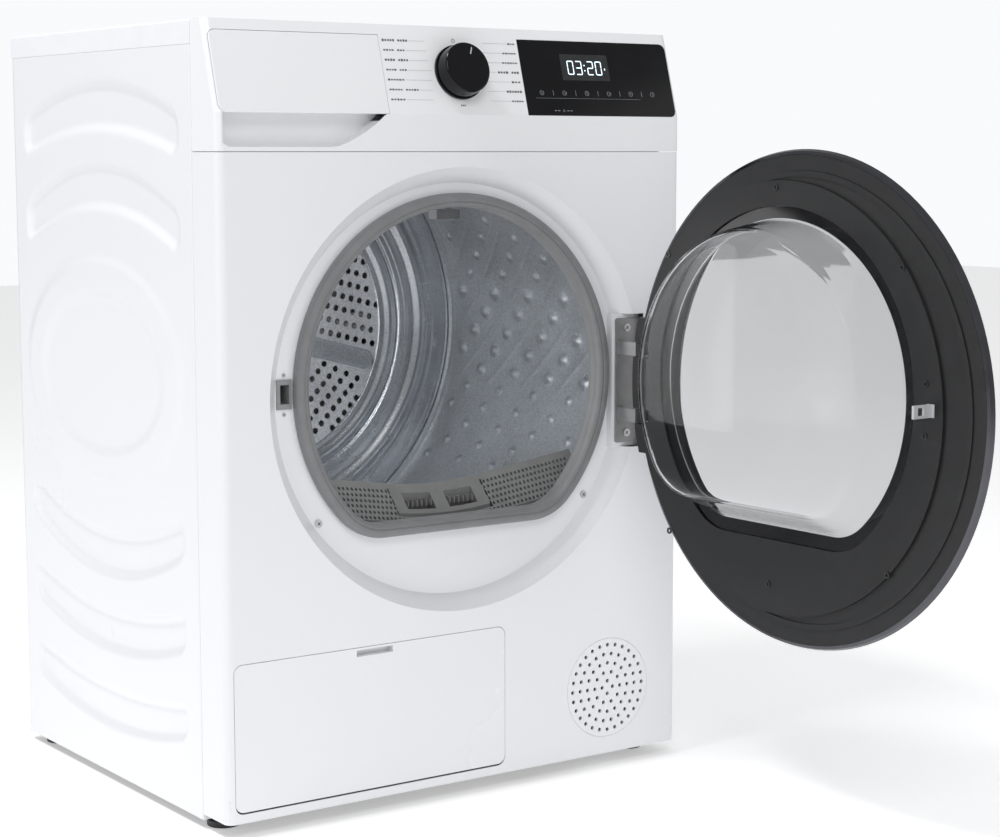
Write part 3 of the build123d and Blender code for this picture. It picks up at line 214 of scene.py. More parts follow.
def coat(name):
    """The finish of that name, made on first use from the colour settings."""
    if name in FINISHES:
        return FINISHES[name]
    c = bpy.context.scene.dryer_colours
    recipes = {
        "enamel": lambda: finish("white_enamel", c.enamel, 0.30, mottle=(3.0, 0.004), grain=(420.0, 0.05), Coat_Weight=0.25, Coat_Roughness=0.12),
        "white_plastic": lambda: finish("white_gloss_plastic", c.plastic, 0.26, mottle=(3.0, 0.004), grain=(700.0, 0.03)),
        "laminate": lambda: finish("white_laminate", c.enamel, 0.42, mottle=(30.0, 0.015), grain=(1400.0, 0.10)),
        "zinc": lambda: speckle(finish("zinc_sheet", (0.52, 0.53, 0.54), 0.38, 0.75, mottle=(25.0, 0.10), grain=(600.0, 0.08)), 70.0, 0.14, 0.06),
        "drum": lambda: speckle(finish("drum_sheet", c.drum, 0.34, 0.62, mottle=(14.0, 0.10), grain=(520.0, 0.30), spread=0.14), 620.0, 0.22, 0.35),
        "rings": lambda: speckle(finish("drum_ring_sheet", (0.42, 0.44, 0.465), 0.25, 0.85, mottle=(14.0, 0.10), grain=(520.0, 0.20), spread=0.10), 620.0, 0.15, 0.22),
        "sieve": lambda: speckle(finish("drum_rear_sheet", (0.62, 0.64, 0.66), 0.36, 0.5, mottle=(20.0, 0.12), grain=(500.0, 0.25), spread=0.12), 560.0, 0.20, 0.3),
        "seal": lambda: finish("seal_rubber", c.seal, 0.55, mottle=(40.0, 0.07), grain=(1300.0, 0.10), Sheen_Weight=0.12, Sheen_Roughness=0.5),
        "lint": lambda: finish("filter_plastic", c.lint, 0.48, mottle=(50.0, 0.07), grain=(1100.0, 0.14)),
        "lint_mesh": lambda: finish("filter_gauze", (0.10, 0.10, 0.10), 0.6, mottle=(600.0, 0.5), grain=(1500.0, 0.4)),
        "door": lambda: finish("charcoal_plastic", c.door, 0.42, mottle=(60.0, 0.10), grain=(1500.0, 0.12), Specular_IOR_Level=0.30),
        "black_gloss": lambda: finish("black_gloss", (0.004, 0.004, 0.005), 0.10, mottle=(20.0, 0.2), grain=(900.0, 0.01), Specular_IOR_Level=0.25),
        "black_satin": lambda: finish("black_satin", (0.012, 0.012, 0.013), 0.30, mottle=(40.0, 0.15), grain=(1200.0, 0.05)),
        "dark_metal": lambda: finish("dark_chrome", (0.10, 0.10, 0.11), 0.20, 1.0, mottle=(30.0, 0.08), grain=(800.0, 0.03)),
        "hinge": lambda: finish("hinge_metal", (0.30, 0.30, 0.305), 0.42, 0.55, mottle=(60.0, 0.10), grain=(1000.0, 0.10)),
        "steel": lambda: finish("bright_steel", (0.55, 0.55, 0.56), 0.30, 1.0, mottle=(60.0, 0.10), grain=(900.0, 0.08)),
        "light_grey": lambda: finish("light_grey_plastic", (0.50, 0.51, 0.52), 0.40, mottle=(60.0, 0.05), grain=(1200.0, 0.08)),
        "mid_grey": lambda: finish("mid_grey_plastic", (0.27, 0.275, 0.28), 0.45, mottle=(60.0, 0.07), grain=(1100.0, 0.10)),
        "grey": lambda: finish("grey_plastic", (0.16, 0.165, 0.17), 0.50, mottle=(60.0, 0.08), grain=(1000.0, 0.12)),
        "black": lambda: finish("black_plastic", (0.02, 0.02, 0.021), 0.48, mottle=(60.0, 0.12), grain=(1000.0, 0.12)),
        "print": lambda: finish("panel_print", c.print, 0.5, mottle=(500.0, 0.15), grain=(1800.0, 0.05)),
        "faint_print": lambda: finish("thin_line_print", (0.36, 0.365, 0.37), 0.5, mottle=(500.0, 0.10), grain=(1800.0, 0.05)),
        "light": lambda: lit("display_light", c.light, 1.1),
        "icon": lambda: finish("display_print", (0.30, 0.31, 0.32), 0.4, mottle=(500.0, 0.10), grain=(1500.0, 0.02)),
        "screen": lambda: finish("display_screen", (0.022, 0.023, 0.025), 0.10, mottle=(80.0, 0.15), grain=(900.0, 0.01)),
        "window": lambda: finish("clear_window", (0.93, 0.94, 0.945), 0.02, mottle=(8.0, 0.01), grain=(12.0, 0.0005), spread=0.01, Transmission_Weight=1.0, IOR=1.14),
        "smoked": lambda: finish("smoked_glass", (0.70, 0.705, 0.71), 0.03, mottle=(8.0, 0.01), grain=(12.0, 0.0005), spread=0.01, Transmission_Weight=1.0, IOR=1.12),
        "felt": lambda: finish("wool_felt", (0.20, 0.20, 0.19), 0.95, mottle=(200.0, 0.3), grain=(1200.0, 0.6)),
        "foam": lambda: finish("filter_foam", (0.02, 0.02, 0.022), 0.95, mottle=(400.0, 0.5), grain=(500.0, 1.0)),
        "copper": lambda: finish("copper_tube", (0.72, 0.36, 0.22), 0.3, 1.0, mottle=(60.0, 0.15), grain=(700.0, 0.1)),
        "fins": lambda: finish("aluminium_fins", (0.60, 0.61, 0.62), 0.35, 1.0, mottle=(60.0, 0.10), grain=(900.0, 0.10)),
        "board": lambda: finish("circuit_board", (0.02, 0.11, 0.04), 0.45, mottle=(250.0, 0.4), grain=(700.0, 0.15)),
        "milky": lambda: finish("milky_plastic", (0.62, 0.65, 0.67), 0.35, mottle=(15.0, 0.05), grain=(700.0, 0.05), Transmission_Weight=0.35),
        "belt": lambda: finish("belt_rubber", (0.012, 0.012, 0.012), 0.7, mottle=(200.0, 0.3), grain=(900.0, 0.3)),
        "lamp": lambda: finish("lamp_lens", (0.13, 0.135, 0.14), 0.35, mottle=(90.0, 0.05), grain=(500.0, 0.25)),
        "nylon": lambda: finish("nylon", (0.55, 0.55, 0.52), 0.45, mottle=(60.0, 0.06), grain=(900.0, 0.08)),
        "floor": lambda: finish("studio_floor", (0.93, 0.93, 0.935), 0.8, mottle=(0.8, 0.004), grain=(60.0, 0.02)),
    }
    FINISHES[name] = recipes[name]()
    return FINISHES[name]


# ------------------------------------------------------------------ meshes
def add_mesh(name, points, faces, finish_name, smooth=True):
    """A mesh object at the origin from an (n, 3) array of points in metres and lists of corners."""
    mesh = bpy.data.meshes.new(name)
    mesh.from_pydata(np.asarray(points, float).reshape(-1, 3).tolist(), [], faces)
    mesh.validate()
    mesh.polygons.foreach_set("use_smooth", np.full(len(mesh.polygons), smooth))
    mesh.materials.append(coat(finish_name))
    made = bpy.data.objects.new(name, mesh)
    bpy.context.scene.collection.objects.link(made)
    return made


def lattice_faces(nu, nv, wrap_u=False, wrap_v=False, flip=False, first=0):
    """Quads joining a grid of nu by nv points, numbered row by row: each takes a point, the next
    along u, the one diagonal to it and the next along v. A wrapped direction joins its ends."""
    index = np.arange(nu * nv).reshape(nu, nv) + first
    index = np.vstack([index, index[:1]]) if wrap_u else index
    index = np.hstack([index, index[:, :1]]) if wrap_v else index
    quads = np.stack([index[:-1, :-1], index[1:, :-1], index[1:, 1:], index[:-1, 1:]], -1).reshape(-1, 4)
    return (quads[:, ::-1] if flip else quads).tolist()


def surface(name, grid, finish_name, wrap_u=False, wrap_v=False, flip=False, poles=(None, None), smooth=True):
    """A surface through a (u, v, 3) grid of points. A pole closes the first or last v row with a
    fan of triangles to one point."""
    nu, nv = grid.shape[:2]
    faces = lattice_faces(nu, nv, wrap_u, wrap_v, flip)
    points = grid.reshape(-1, 3)
    for pole, row in zip(poles, (0, nv - 1)):
        if pole is None:
            continue
        points = np.vstack([points, pole])
        ring = np.arange(nu) * nv + row
        after = np.roll(ring, -1)
        middle = np.full(nu, len(points) - 1)
        turn = (row == 0) != flip
        fan = np.stack([middle, after, ring] if turn else [middle, ring, after], -1)
        faces += fan.tolist()
    return add_mesh(name, points, faces, finish_name, smooth)


def thicken(piece, amount, offset=-1.0):
    """Gives a sheet its wall with a Solidify modifier."""
    wall = piece.modifiers.new("wall", "SOLIDIFY")
    wall.thickness = amount
    wall.offset = offset
    return piece


def settle(piece, body, slot_name, *replaced):
    """Puts a finished piece on its CAD body and hides the CAD nodes it stands for. slot_name is not used."""
    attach(piece, body)
    if replaced:
        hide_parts(*replaced)
    return piece


def smoothstep(t):
    """3t squared minus 2t cubed, held between 0 and 1."""
    t = np.clip(t, 0, 1)
    return t * t * (3 - 2 * t)


def bell(t):
    """A round hill: half a cosine wave between -1 and 1, nothing outside."""
    return np.where(np.abs(t) < 1, 0.5 + 0.5 * np.cos(np.pi * np.clip(t, -1, 1)), 0.0)


def holed_cells(centres, half_u, half_v, radius, place, depth):
    """Points and quads of rectangular cells round their centres, each with a round hole. A cell is
    three loops of twelve points: the rectangle's edge, the hole's rim at the same bearings and the
    rim again, depth behind. place maps (u, v, w) arrays to space."""
    third = np.array([-1, -1 / 3, 1 / 3])
    ones = np.ones(3)
    edge = np.concatenate([
        np.stack([third, -ones], -1), np.stack([ones, third], -1),
        np.stack([-third, ones], -1), np.stack([-ones, -third], -1),
    ])
    outer = edge * [half_u, half_v]
    rim = outer / np.linalg.norm(outer, axis=1, keepdims=True) * radius
    n = len(centres)
    loops = np.concatenate([outer, rim, rim])
    flat = centres[:, None, :] + loops[None]
    back = np.concatenate([np.zeros(24), np.full(12, depth)])
    points = place(flat[..., 0], flat[..., 1], np.broadcast_to(back, (n, 36)))
    k = np.arange(12)
    after = (k + 1) % 12
    quads = np.concatenate([
        np.stack([k, after, after + 12, k + 12], -1),
        np.stack([k + 12, after + 12, after + 24, k + 24], -1),
    ])
    faces = (quads[None] + (np.arange(n) * 36)[:, None, None]).reshape(-1, 4)
    return points.reshape(-1, 3), faces.tolist()


def plain_cells(centres, half_u, half_v, place, first):
    """Four corners and one quad for each cell that has no hole."""
    corner = np.array([[-1, -1], [1, -1], [1, 1], [-1, 1]]) * [half_u, half_v]
    flat = centres[:, None, :] + corner[None]
    points = place(flat[..., 0], flat[..., 1], np.zeros(flat.shape[:2]))
    faces = np.arange(len(centres) * 4).reshape(-1, 4) + first
    return points.reshape(-1, 3), faces.tolist()


def d_outline(radius, chord, corner, centre_z, count=240):
    """Points and outward normals of a circle cut flat below, with round corners, in (x, z).
    Each bearing takes the nearest of three pieces: the big circle, a corner circle that touches
    it and the chord from inside, and the chord. The points are then spaced evenly."""
    low = chord - centre_z
    reach = math.sqrt((radius - corner) ** 2 - (low + corner) ** 2)
    touch = math.atan2(low + corner, reach)
    big = np.linspace(touch, math.pi - touch, 400)
    turn = np.linspace(math.pi - touch, 1.5 * math.pi, 80)
    back = np.linspace(1.5 * math.pi, 2 * math.pi + touch, 80)
    arc = np.stack([radius * np.cos(big), radius * np.sin(big)], -1)
    left = np.stack([-reach + corner * np.cos(turn), low + corner + corner * np.sin(turn)], -1)
    right = np.stack([reach + corner * np.cos(back), low + corner + corner * np.sin(back)], -1)
    loop = np.concatenate([arc, left, right, arc[:1]])
    run = np.concatenate([[0], np.cumsum(np.linalg.norm(np.diff(loop, axis=0), axis=1))])
    even = np.linspace(0, run[-1], count, endpoint=False)
    x, z = np.interp(even, run, loop[:, 0]), np.interp(even, run, loop[:, 1])
    ahead = np.stack([np.roll(x, -1) - np.roll(x, 1), np.roll(z, -1) - np.roll(z, 1)], -1)
    ahead /= np.linalg.norm(ahead, axis=1, keepdims=True)
    return np.stack([x, z + centre_z], -1), np.stack([ahead[:, 1], -ahead[:, 0]], -1)


def rounded(corners, radius, steps=5):
    """A profile of (offset, depth) corners with each inner corner rounded by a quadratic curve."""
    corners = np.array(corners, float)
    out = [corners[:1]]
    for before, here, after in zip(corners[:-2], corners[1:-1], corners[2:]):
        a, b = before - here, after - here
        r = min(radius, 0.45 * np.linalg.norm(a), 0.45 * np.linalg.norm(b))
        start, end = here + a / np.linalg.norm(a) * r, here + b / np.linalg.norm(b) * r
        t = np.linspace(0, 1, steps)[:, None]
        out.append((1 - t) ** 2 * start + 2 * t * (1 - t) * here + t * t * end)
    return np.concatenate(out + [corners[-1:]])


def swept(outline, normals, profile):
    """Carries a profile of (outward offset, y) pairs round an outline in (x, z)."""
    across = outline[:, None, :] + normals[:, None, :] * profile[None, :, :1]
    depth = np.broadcast_to(profile[None, :, 1], across.shape[:2])
    return np.stack([across[..., 0], depth, across[..., 1]], -1)


def revolved(profile, centre_x, centre_z, count=240):
    """Turns a profile of (radius, y) pairs about a line along Y."""
    turn = np.linspace(0, 2 * np.pi, count, endpoint=False)[:, None]
    r, y = profile[None, :, 0], profile[None, :, 1]
    return np.stack([
        centre_x + r * np.cos(turn), np.broadcast_to(y, (count, profile.shape[0])), centre_z + r * np.sin(turn),
    ], -1)


def on_door(grid):
    """Turns points of the closed door about the hinge to where the open door stands."""
    dx, dy = grid[..., 0] - HINGE[0], grid[..., 1] - HINGE[1]
    c, s = math.cos(OPEN_ANGLE), math.sin(OPEN_ANGLE)
    return np.stack([HINGE[0] + c * dx - s * dy, HINGE[1] + s * dx + c * dy, grid[..., 2]], -1)


def on_fascia(u, v, h):
    """Maps fascia measures, right, up the slope and out of it, to space."""
    s, c = math.sin(FASCIA_TILT), math.cos(FASCIA_TILT)
    return np.stack([
        FASCIA_FOOT[0] + u, FASCIA_FOOT[1] + v * s - h * c, FASCIA_FOOT[2] + v * c + h * s,
    ], -1)


def flat_shapes(name, outlines, height, finish_name, lift=0.00005):
    """Thin raised shapes on the fascia: each outline of (u, v) points is capped in front and
    joined to the fascia by a wall of quads."""
    points, faces, first = [], [], 0
    for outline in outlines:
        ring = np.array(outline, float)
        n = len(ring)
        points.append(on_fascia(ring[:, 0], ring[:, 1], np.full(n, lift + height)))
        points.append(on_fascia(ring[:, 0], ring[:, 1], np.full(n, lift)))
        k = np.arange(n)
        after = (k + 1) % n
        faces.append((k + first).tolist())
        faces += np.stack([k + n, after + n, after, k], -1).__add__(first).tolist()
        first += 2 * n
    return add_mesh(name, np.concatenate(points), faces, finish_name, smooth=False)


def bar(u, v, width, height):
    """Corners of a rectangle about (u, v), anticlockwise."""
    a, b = width / 2, height / 2
    return [(u - a, v - b), (u + a, v - b), (u + a, v + b), (u - a, v + b)]


def ring_pieces(u, v, radius, width, start=0.0, end=360.0, count=24):
    """A ring or arc as a run of small four-cornered pieces."""
    turn = np.radians(np.linspace(start, end, count + 1))
    inner, outer = radius - width / 2, radius + width / 2
    c, s = np.cos(turn), np.sin(turn)
    return [
        [(u + inner * c[i], v + inner * s[i]), (u + outer * c[i], v + outer * s[i]),
         (u + outer * c[i + 1], v + outer * s[i + 1]), (u + inner * c[i + 1], v + inner * s[i + 1])]
        for i in range(count)
    ]


def lettering(name, entries, finish_name):
    """Generic numerals on the fascia. Each entry is (text, u, v, size, alignment); the text curve
    is made a mesh and then laid on the slope."""
    made = []
    for text, u, v, size, align in entries:
        curve = bpy.data.curves.new(name, "FONT")
        curve.body, curve.size, curve.align_x, curve.align_y = text, size, align, "CENTER"
        curve.extrude = 0.00004
        curve.resolution_u = 3
        holder = bpy.data.objects.new(name, curve)
        bpy.context.scene.collection.objects.link(holder)
        bpy.context.view_layer.update()
        mesh = bpy.data.meshes.new_from_object(holder.evaluated_get(bpy.context.evaluated_depsgraph_get()))
        bpy.data.objects.remove(holder)
        co = np.zeros(len(mesh.vertices) * 3)
        mesh.vertices.foreach_get("co", co)
        co = co.reshape(-1, 3)
        mesh.vertices.foreach_set("co", on_fascia(co[:, 0] + u, co[:, 1] + v, co[:, 2] + 0.0001).ravel())
        made.append(bpy.data.objects.new(name, mesh))
        bpy.context.scene.collection.objects.link(made[-1])
    with bpy.context.temp_override(active_object=made[0], selected_editable_objects=made):
        bpy.ops.object.join()
    joined = made[0]
    joined.data.materials.clear()
    joined.data.materials.append(coat(finish_name))
    return joined


# ------------------------------------------------------------------ casing
# (height at the ends, height in the middle) of each channel's upper and lower edge, in mm
CHANNELS = (
    ((746.0, 782.0), (708.0, 735.0)),
    ((646.0, 693.0), (607.0, 649.0)),
    ((321.0, 283.0), (287.0, 241.0)),
    ((221.0, 194.0), (187.0, 155.0)),
    ((125.0, 107.0), (92.0, 66.0)),
)
PRESS_MIDDLE, PRESS_HALF, PRESS_CORNER, PRESS_SOFT = 27.0, 192.0, 13.0, 6.5
OVAL_Z, OVAL_OUTER, OVAL_INNER = 465.0, (196.0, 126.0), (152.0, 87.0)


def pressing(y, z, press_depth, ring_height):
    """Outward offset of the side panel at (y, z) in mm. Distance inside a channel is the least of
    the distances to its two parabolic edges and its ends, rounded at the corners; the depth follows
    it by a smooth step. The oval ring is the lesser distance to two ellipses, stepped the same way."""
    along = (y - PRESS_MIDDLE) / PRESS_HALF
    offset = np.zeros_like(y)
    for upper, lower in CHANNELS:
        rise = 1 - np.clip(along, -1, 1) ** 2
        top = upper[0] + (upper[1] - upper[0]) * rise
        foot = lower[0] + (lower[1] - lower[0]) * rise
        inside_z = np.minimum(top - z, z - foot)
        inside_y = PRESS_HALF - np.abs(y - PRESS_MIDDLE)
        round_off = np.hypot(np.maximum(PRESS_CORNER - inside_z, 0), np.maximum(PRESS_CORNER - inside_y, 0))
        inside = np.where(round_off > 0, PRESS_CORNER - round_off, np.minimum(inside_z, inside_y))
        offset -= press_depth * smoothstep(0.5 + inside / (2 * PRESS_SOFT))
    dy, dz = y - PRESS_MIDDLE, z - OVAL_Z
    outer = 1 - np.hypot(dy / OVAL_OUTER[0], dz / OVAL_OUTER[1])
    inner = np.hypot(dy / OVAL_INNER[0], dz / OVAL_INNER[1]) - 1
    inside = np.minimum(outer * OVAL_OUTER[1], inner * OVAL_INNER[1])
    return offset + ring_height * smoothstep(0.5 + inside / (2 * PRESS_SOFT))


class DRYER_OT_side_panels(bpy.types.Operator):
    """Pressed side panels with soft-edged channels and a raised oval ring"""

    bl_idname = "dryer.side_panels"
    bl_label = "Side Panels"

    def execute(self, context):
        sizes = context.scene.dryer_sizes
        low, high = side_low / MM, side_high / MM
        y = np.linspace(low[1] + 1.2, high[1] - 1.2, 170)
        z = np.linspace(low[2], high[2], 300)
        yy, zz = np.meshgrid(y, z, indexing="ij")
        depth = pressing(yy, zz, sizes.press_depth / MM, sizes.ring_height / MM)
        turned = np.array([[9.0, 0.0], [2.0, 0.0], [0.6, 0.35]])
        for node, side in (("left_side_panel", -1), ("right_side_panel", 1)):
            face = np.stack([side * (297.5 + depth), yy, zz], -1)
            front = np.stack([
                np.broadcast_to(side * (297.5 - turned[:, :1]), (3, len(z))),
                np.broadcast_to(low[1] + turned[:, 1:] * 2, (3, len(z))),
                np.broadcast_to(z, (3, len(z))),
            ], -1)
            rear = front[::-1].copy()
            rear[..., 1] = low[1] + high[1] - rear[..., 1]
            grid = np.concatenate([front, face, rear]) * MM
            piece = surface(f"{node}_skin", grid, "enamel", flip=side < 0)
            settle(piece, "cabinet", node, node)
        return {"FINISHED"}


# ------------------------------------------------------------------ drum
DOME_ROWS, DOME_PITCH, DOME_TURN, DOME_STEP = 12, 0.0735, math.radians(5.15), 0.0245


def drum_relief(turn, y):
    """Inward relief of the drum wall. Domes sit on a slanting lattice that repeats three times
    round the drum, large in its middle rows and small outside them, with thin slanting ridges
    between their columns; two beads run round the wall where it meets the rear."""
    relief = np.zeros_like(turn)
    for start in (0.0, 2 * np.pi / 3, 4 * np.pi / 3):
        for row in range(-5, 9):
            angle = start + math.radians(3.1) - DOME_TURN * row
            large = -2 < row < 4
            size, height = (0.0105, 0.0032) if large else (0.0066, 0.0027)
            for column in range(-3, 2):
                across = 0.107 + DOME_PITCH * column + DOME_STEP * (row % 3)
                if not -0.12 < across < 0.165:
                    continue
                arc = (np.angle(np.exp(1j * (turn - angle)))) * 0.2745
                relief += height * bell(np.hypot(arc, (y - across) * 0.8) / size)
        bearing = np.angle(np.exp(1j * (turn - start - math.radians(3.1))))
        along = y + bearing / DOME_TURN * DOME_STEP
        nearest = np.abs((along - 0.070 + DOME_PITCH / 2) % DOME_PITCH - DOME_PITCH / 2)
        window = smoothstep((math.radians(27) - np.abs(bearing - math.radians(6))) / 0.06)
        window = window * smoothstep((0.165 - y) / 0.02) * smoothstep((y + 0.13) / 0.02)
        relief += 0.0014 * bell(nearest / 0.0036) * window
    relief += 0.0022 * bell((y - 0.189) / 0.005) + 0.0012 * bell((y - 0.179) / 0.004)
    relief += 0.0014 * bell((y + 0.172) / 0.006)
    return relief


BAR_ANGLE, BAR_OFFSET, BAR_REACH, BAR_WIDTH = math.radians(-14.6), -0.008, (0.050, 0.166), 0.026
HOLE_PITCH, HOLE_ROWS = 0.0128, 0.0165


class DRYER_OT_drum(bpy.types.Operator):
    """Drum wall with domes and ridges, and its rear wall with rings, bars and air holes"""

    bl_idname = "dryer.drum"
    bl_label = "Drum"

    def execute(self, context):
        sizes = context.scene.dryer_sizes
        radius = sizes.drum_radius
        rear = float(drum_high[1]) + 0.0005
        turn = np.linspace(0, 2 * np.pi, 640, endpoint=False)
        y = np.linspace(float(drum_low[1]), rear, 134)
        tt, yy = np.meshgrid(turn, y, indexing="ij")
        r = radius - drum_relief(tt, yy)
        wall = np.stack([r * np.cos(tt), yy, DRUM_AXIS_Z + r * np.sin(tt)], -1)
        outside = np.array([[radius + 0.0014, rear], [radius + 0.0014, float(drum_low[1])]])
        skin = np.concatenate([wall, revolved(outside, 0.0, DRUM_AXIS_Z, 640)], axis=1)
        settle(surface("drum_wall", skin, "drum", wrap_u=True, wrap_v=True), "drum", "drum_shell", "drum_shell")

        # The rear wall outside the holes: rolled rings between the hole field and the corner.
        r = np.linspace(0.169, radius - 0.0006, 120)
        rings = (
            0.0032 * bell((r - 0.1835) / 0.0105) + 0.0014 * bell((r - 0.2005) / 0.0045)
            + 0.0010 * bell((r - 0.2085) / 0.0035) + 0.0046 * bell((r - 0.2300) / 0.0130)
            + 0.0012 * bell((r - 0.2470) / 0.0050) - 0.0016 * bell((r - 0.1955) / 0.0028)
        )
        lip = np.array([[0.1672, rear - 0.0002], [0.1676, rear - 0.0022], [0.1683, rear - 0.0030]])
        front_face = np.concatenate([lip, np.stack([r, rear - 0.0030 - rings], -1), [[radius - 0.0002, rear - 0.0002]]])
        settle(surface("drum_rear_rings", revolved(front_face, 0.0, DRUM_AXIS_Z, 320), "rings", wrap_u=True, flip=True),
               "drum", "drum_back", "drum_back")
        hub = rounded([(0.0005, rear - 0.0075), (0.034, rear - 0.0075), (0.050, rear - 0.0045), (0.060, rear - 0.0004)], 0.008)
        settle(surface("drum_rear_hub", revolved(hub, 0.0, DRUM_AXIS_Z, 160), "drum", wrap_u=True, flip=True,
                       poles=((0.0, rear - 0.0075, DRUM_AXIS_Z), None)), "drum", "drum_back", "drum_back")

        # The hole field: one third of it is rows of cells along its own bar, and it is turned
        # three times. Its ragged edges end under the bars, the hub and the rings.
        rows, steps = np.meshgrid(np.arange(-1, 12), np.arange(-14, 15), indexing="ij")
        along = steps * HOLE_PITCH + (rows % 2) * HOLE_PITCH / 2
        aside = BAR_OFFSET + BAR_WIDTH / 2 + 0.009 + (rows - 1) * HOLE_ROWS
        centres = np.stack([along.ravel(), aside.ravel()], -1)
        reach = np.linalg.norm(centres, axis=1)
        bar_edge = centres @ np.array([math.sin(math.radians(120)), -math.cos(math.radians(120))]) + BAR_OFFSET
        field = (reach < 0.178) & (reach > 0.046) & (centres[:, 1] > BAR_OFFSET - 0.006) & (bar_edge > -0.006)
        holed = field & (reach < 0.1665) & (reach > 0.062) & (aside.ravel() > BAR_OFFSET + BAR_WIDTH / 2 + 0.004)
        holed &= bar_edge > BAR_WIDTH / 2 + 0.004
        points, faces = [], []
        for third in range(3):
            angle = BAR_ANGLE + third * 2 * math.pi / 3
            c, s = math.cos(angle), math.sin(angle)

            def place(u, v, w, c=c, s=s):
                return np.stack([u * c - v * s, rear - 0.0006 + w * np.ones_like(u), DRUM_AXIS_Z + u * s + v * c], -1)

            p, f = holed_cells(centres[holed], HOLE_PITCH / 2, HOLE_ROWS / 2, sizes.air_hole, place, 0.0011)
            faces += (np.array(f) + sum(len(q) for q in points)).tolist()
            points.append(p)
            p, f = plain_cells(centres[field & ~holed], HOLE_PITCH / 2, HOLE_ROWS / 2, place, 0)
            faces += (np.array(f) + sum(len(q) for q in points)).tolist()
            points.append(p)
        sieve = add_mesh("drum_rear_sieve", np.concatenate(points), faces, "sieve", smooth=False)
        settle(sieve, "drum", "drum_back", "drum_back")

        # Bars: a stadium outline whose rings shrink inwards as they rise to a soft flat top.
        half = BAR_WIDTH / 2
        straight = (BAR_REACH[0] + half, BAR_REACH[1] - half)
        end = np.linspace(-np.pi / 2, np.pi / 2, 25)
        outline = np.concatenate([
            np.stack([straight[1] + half * np.cos(end), half * np.sin(end)], -1),
            np.stack([straight[0] - half * np.cos(end), -half * np.sin(end)], -1),
        ])
        middle = np.array([[sum(straight) / 2, 0.0]])
        spine = np.stack([np.clip(outline[:, 0], *straight), np.zeros(len(outline))], -1)
        steps = np.array([[1.0, 0.0], [0.93, 0.0014], [0.80, 0.0034], [0.66, 0.0045], [0.5, 0.0049], [0.25, 0.0050]])
        for third in range(3):
            angle = BAR_ANGLE + third * 2 * math.pi / 3
            c, s = math.cos(angle), math.sin(angle)
            flat = spine[:, None] + (outline - spine)[:, None] * steps[None, :, :1]
            u, v = flat[..., 0], flat[..., 1] + BAR_OFFSET
            grid = np.stack([u * c - v * s, rear - np.broadcast_to(steps[:, 1], u.shape), DRUM_AXIS_Z + u * s + v * c], -1)
            closing = grid[:, -1].mean(0)
            bar_piece = surface(f"drum_rear_bar_{third + 1}", grid, "drum", wrap_u=True, poles=(None, closing))
            settle(bar_piece, "drum", "drum_back", "drum_back")
        return {"FINISHED"}


# ------------------------------------------------------------------ mouth
RAMP_FRONT_Z, RAMP_REAR_Z, RAMP_CURVE, RAMP_HALF, CASSETTE_HALF = 0.3035, 0.342, 0.840, 0.190, 0.061


def ramp_rise(x):
    """Rise of the ramp at x over its middle: x squared over the curve, and a straight run
    outside the filter cassette."""
    inner = np.minimum(np.abs(x), CASSETTE_HALF)
    return inner ** 2 / RAMP_CURVE + (np.abs(x) - inner) * 2 * CASSETTE_HALF / RAMP_CURVE


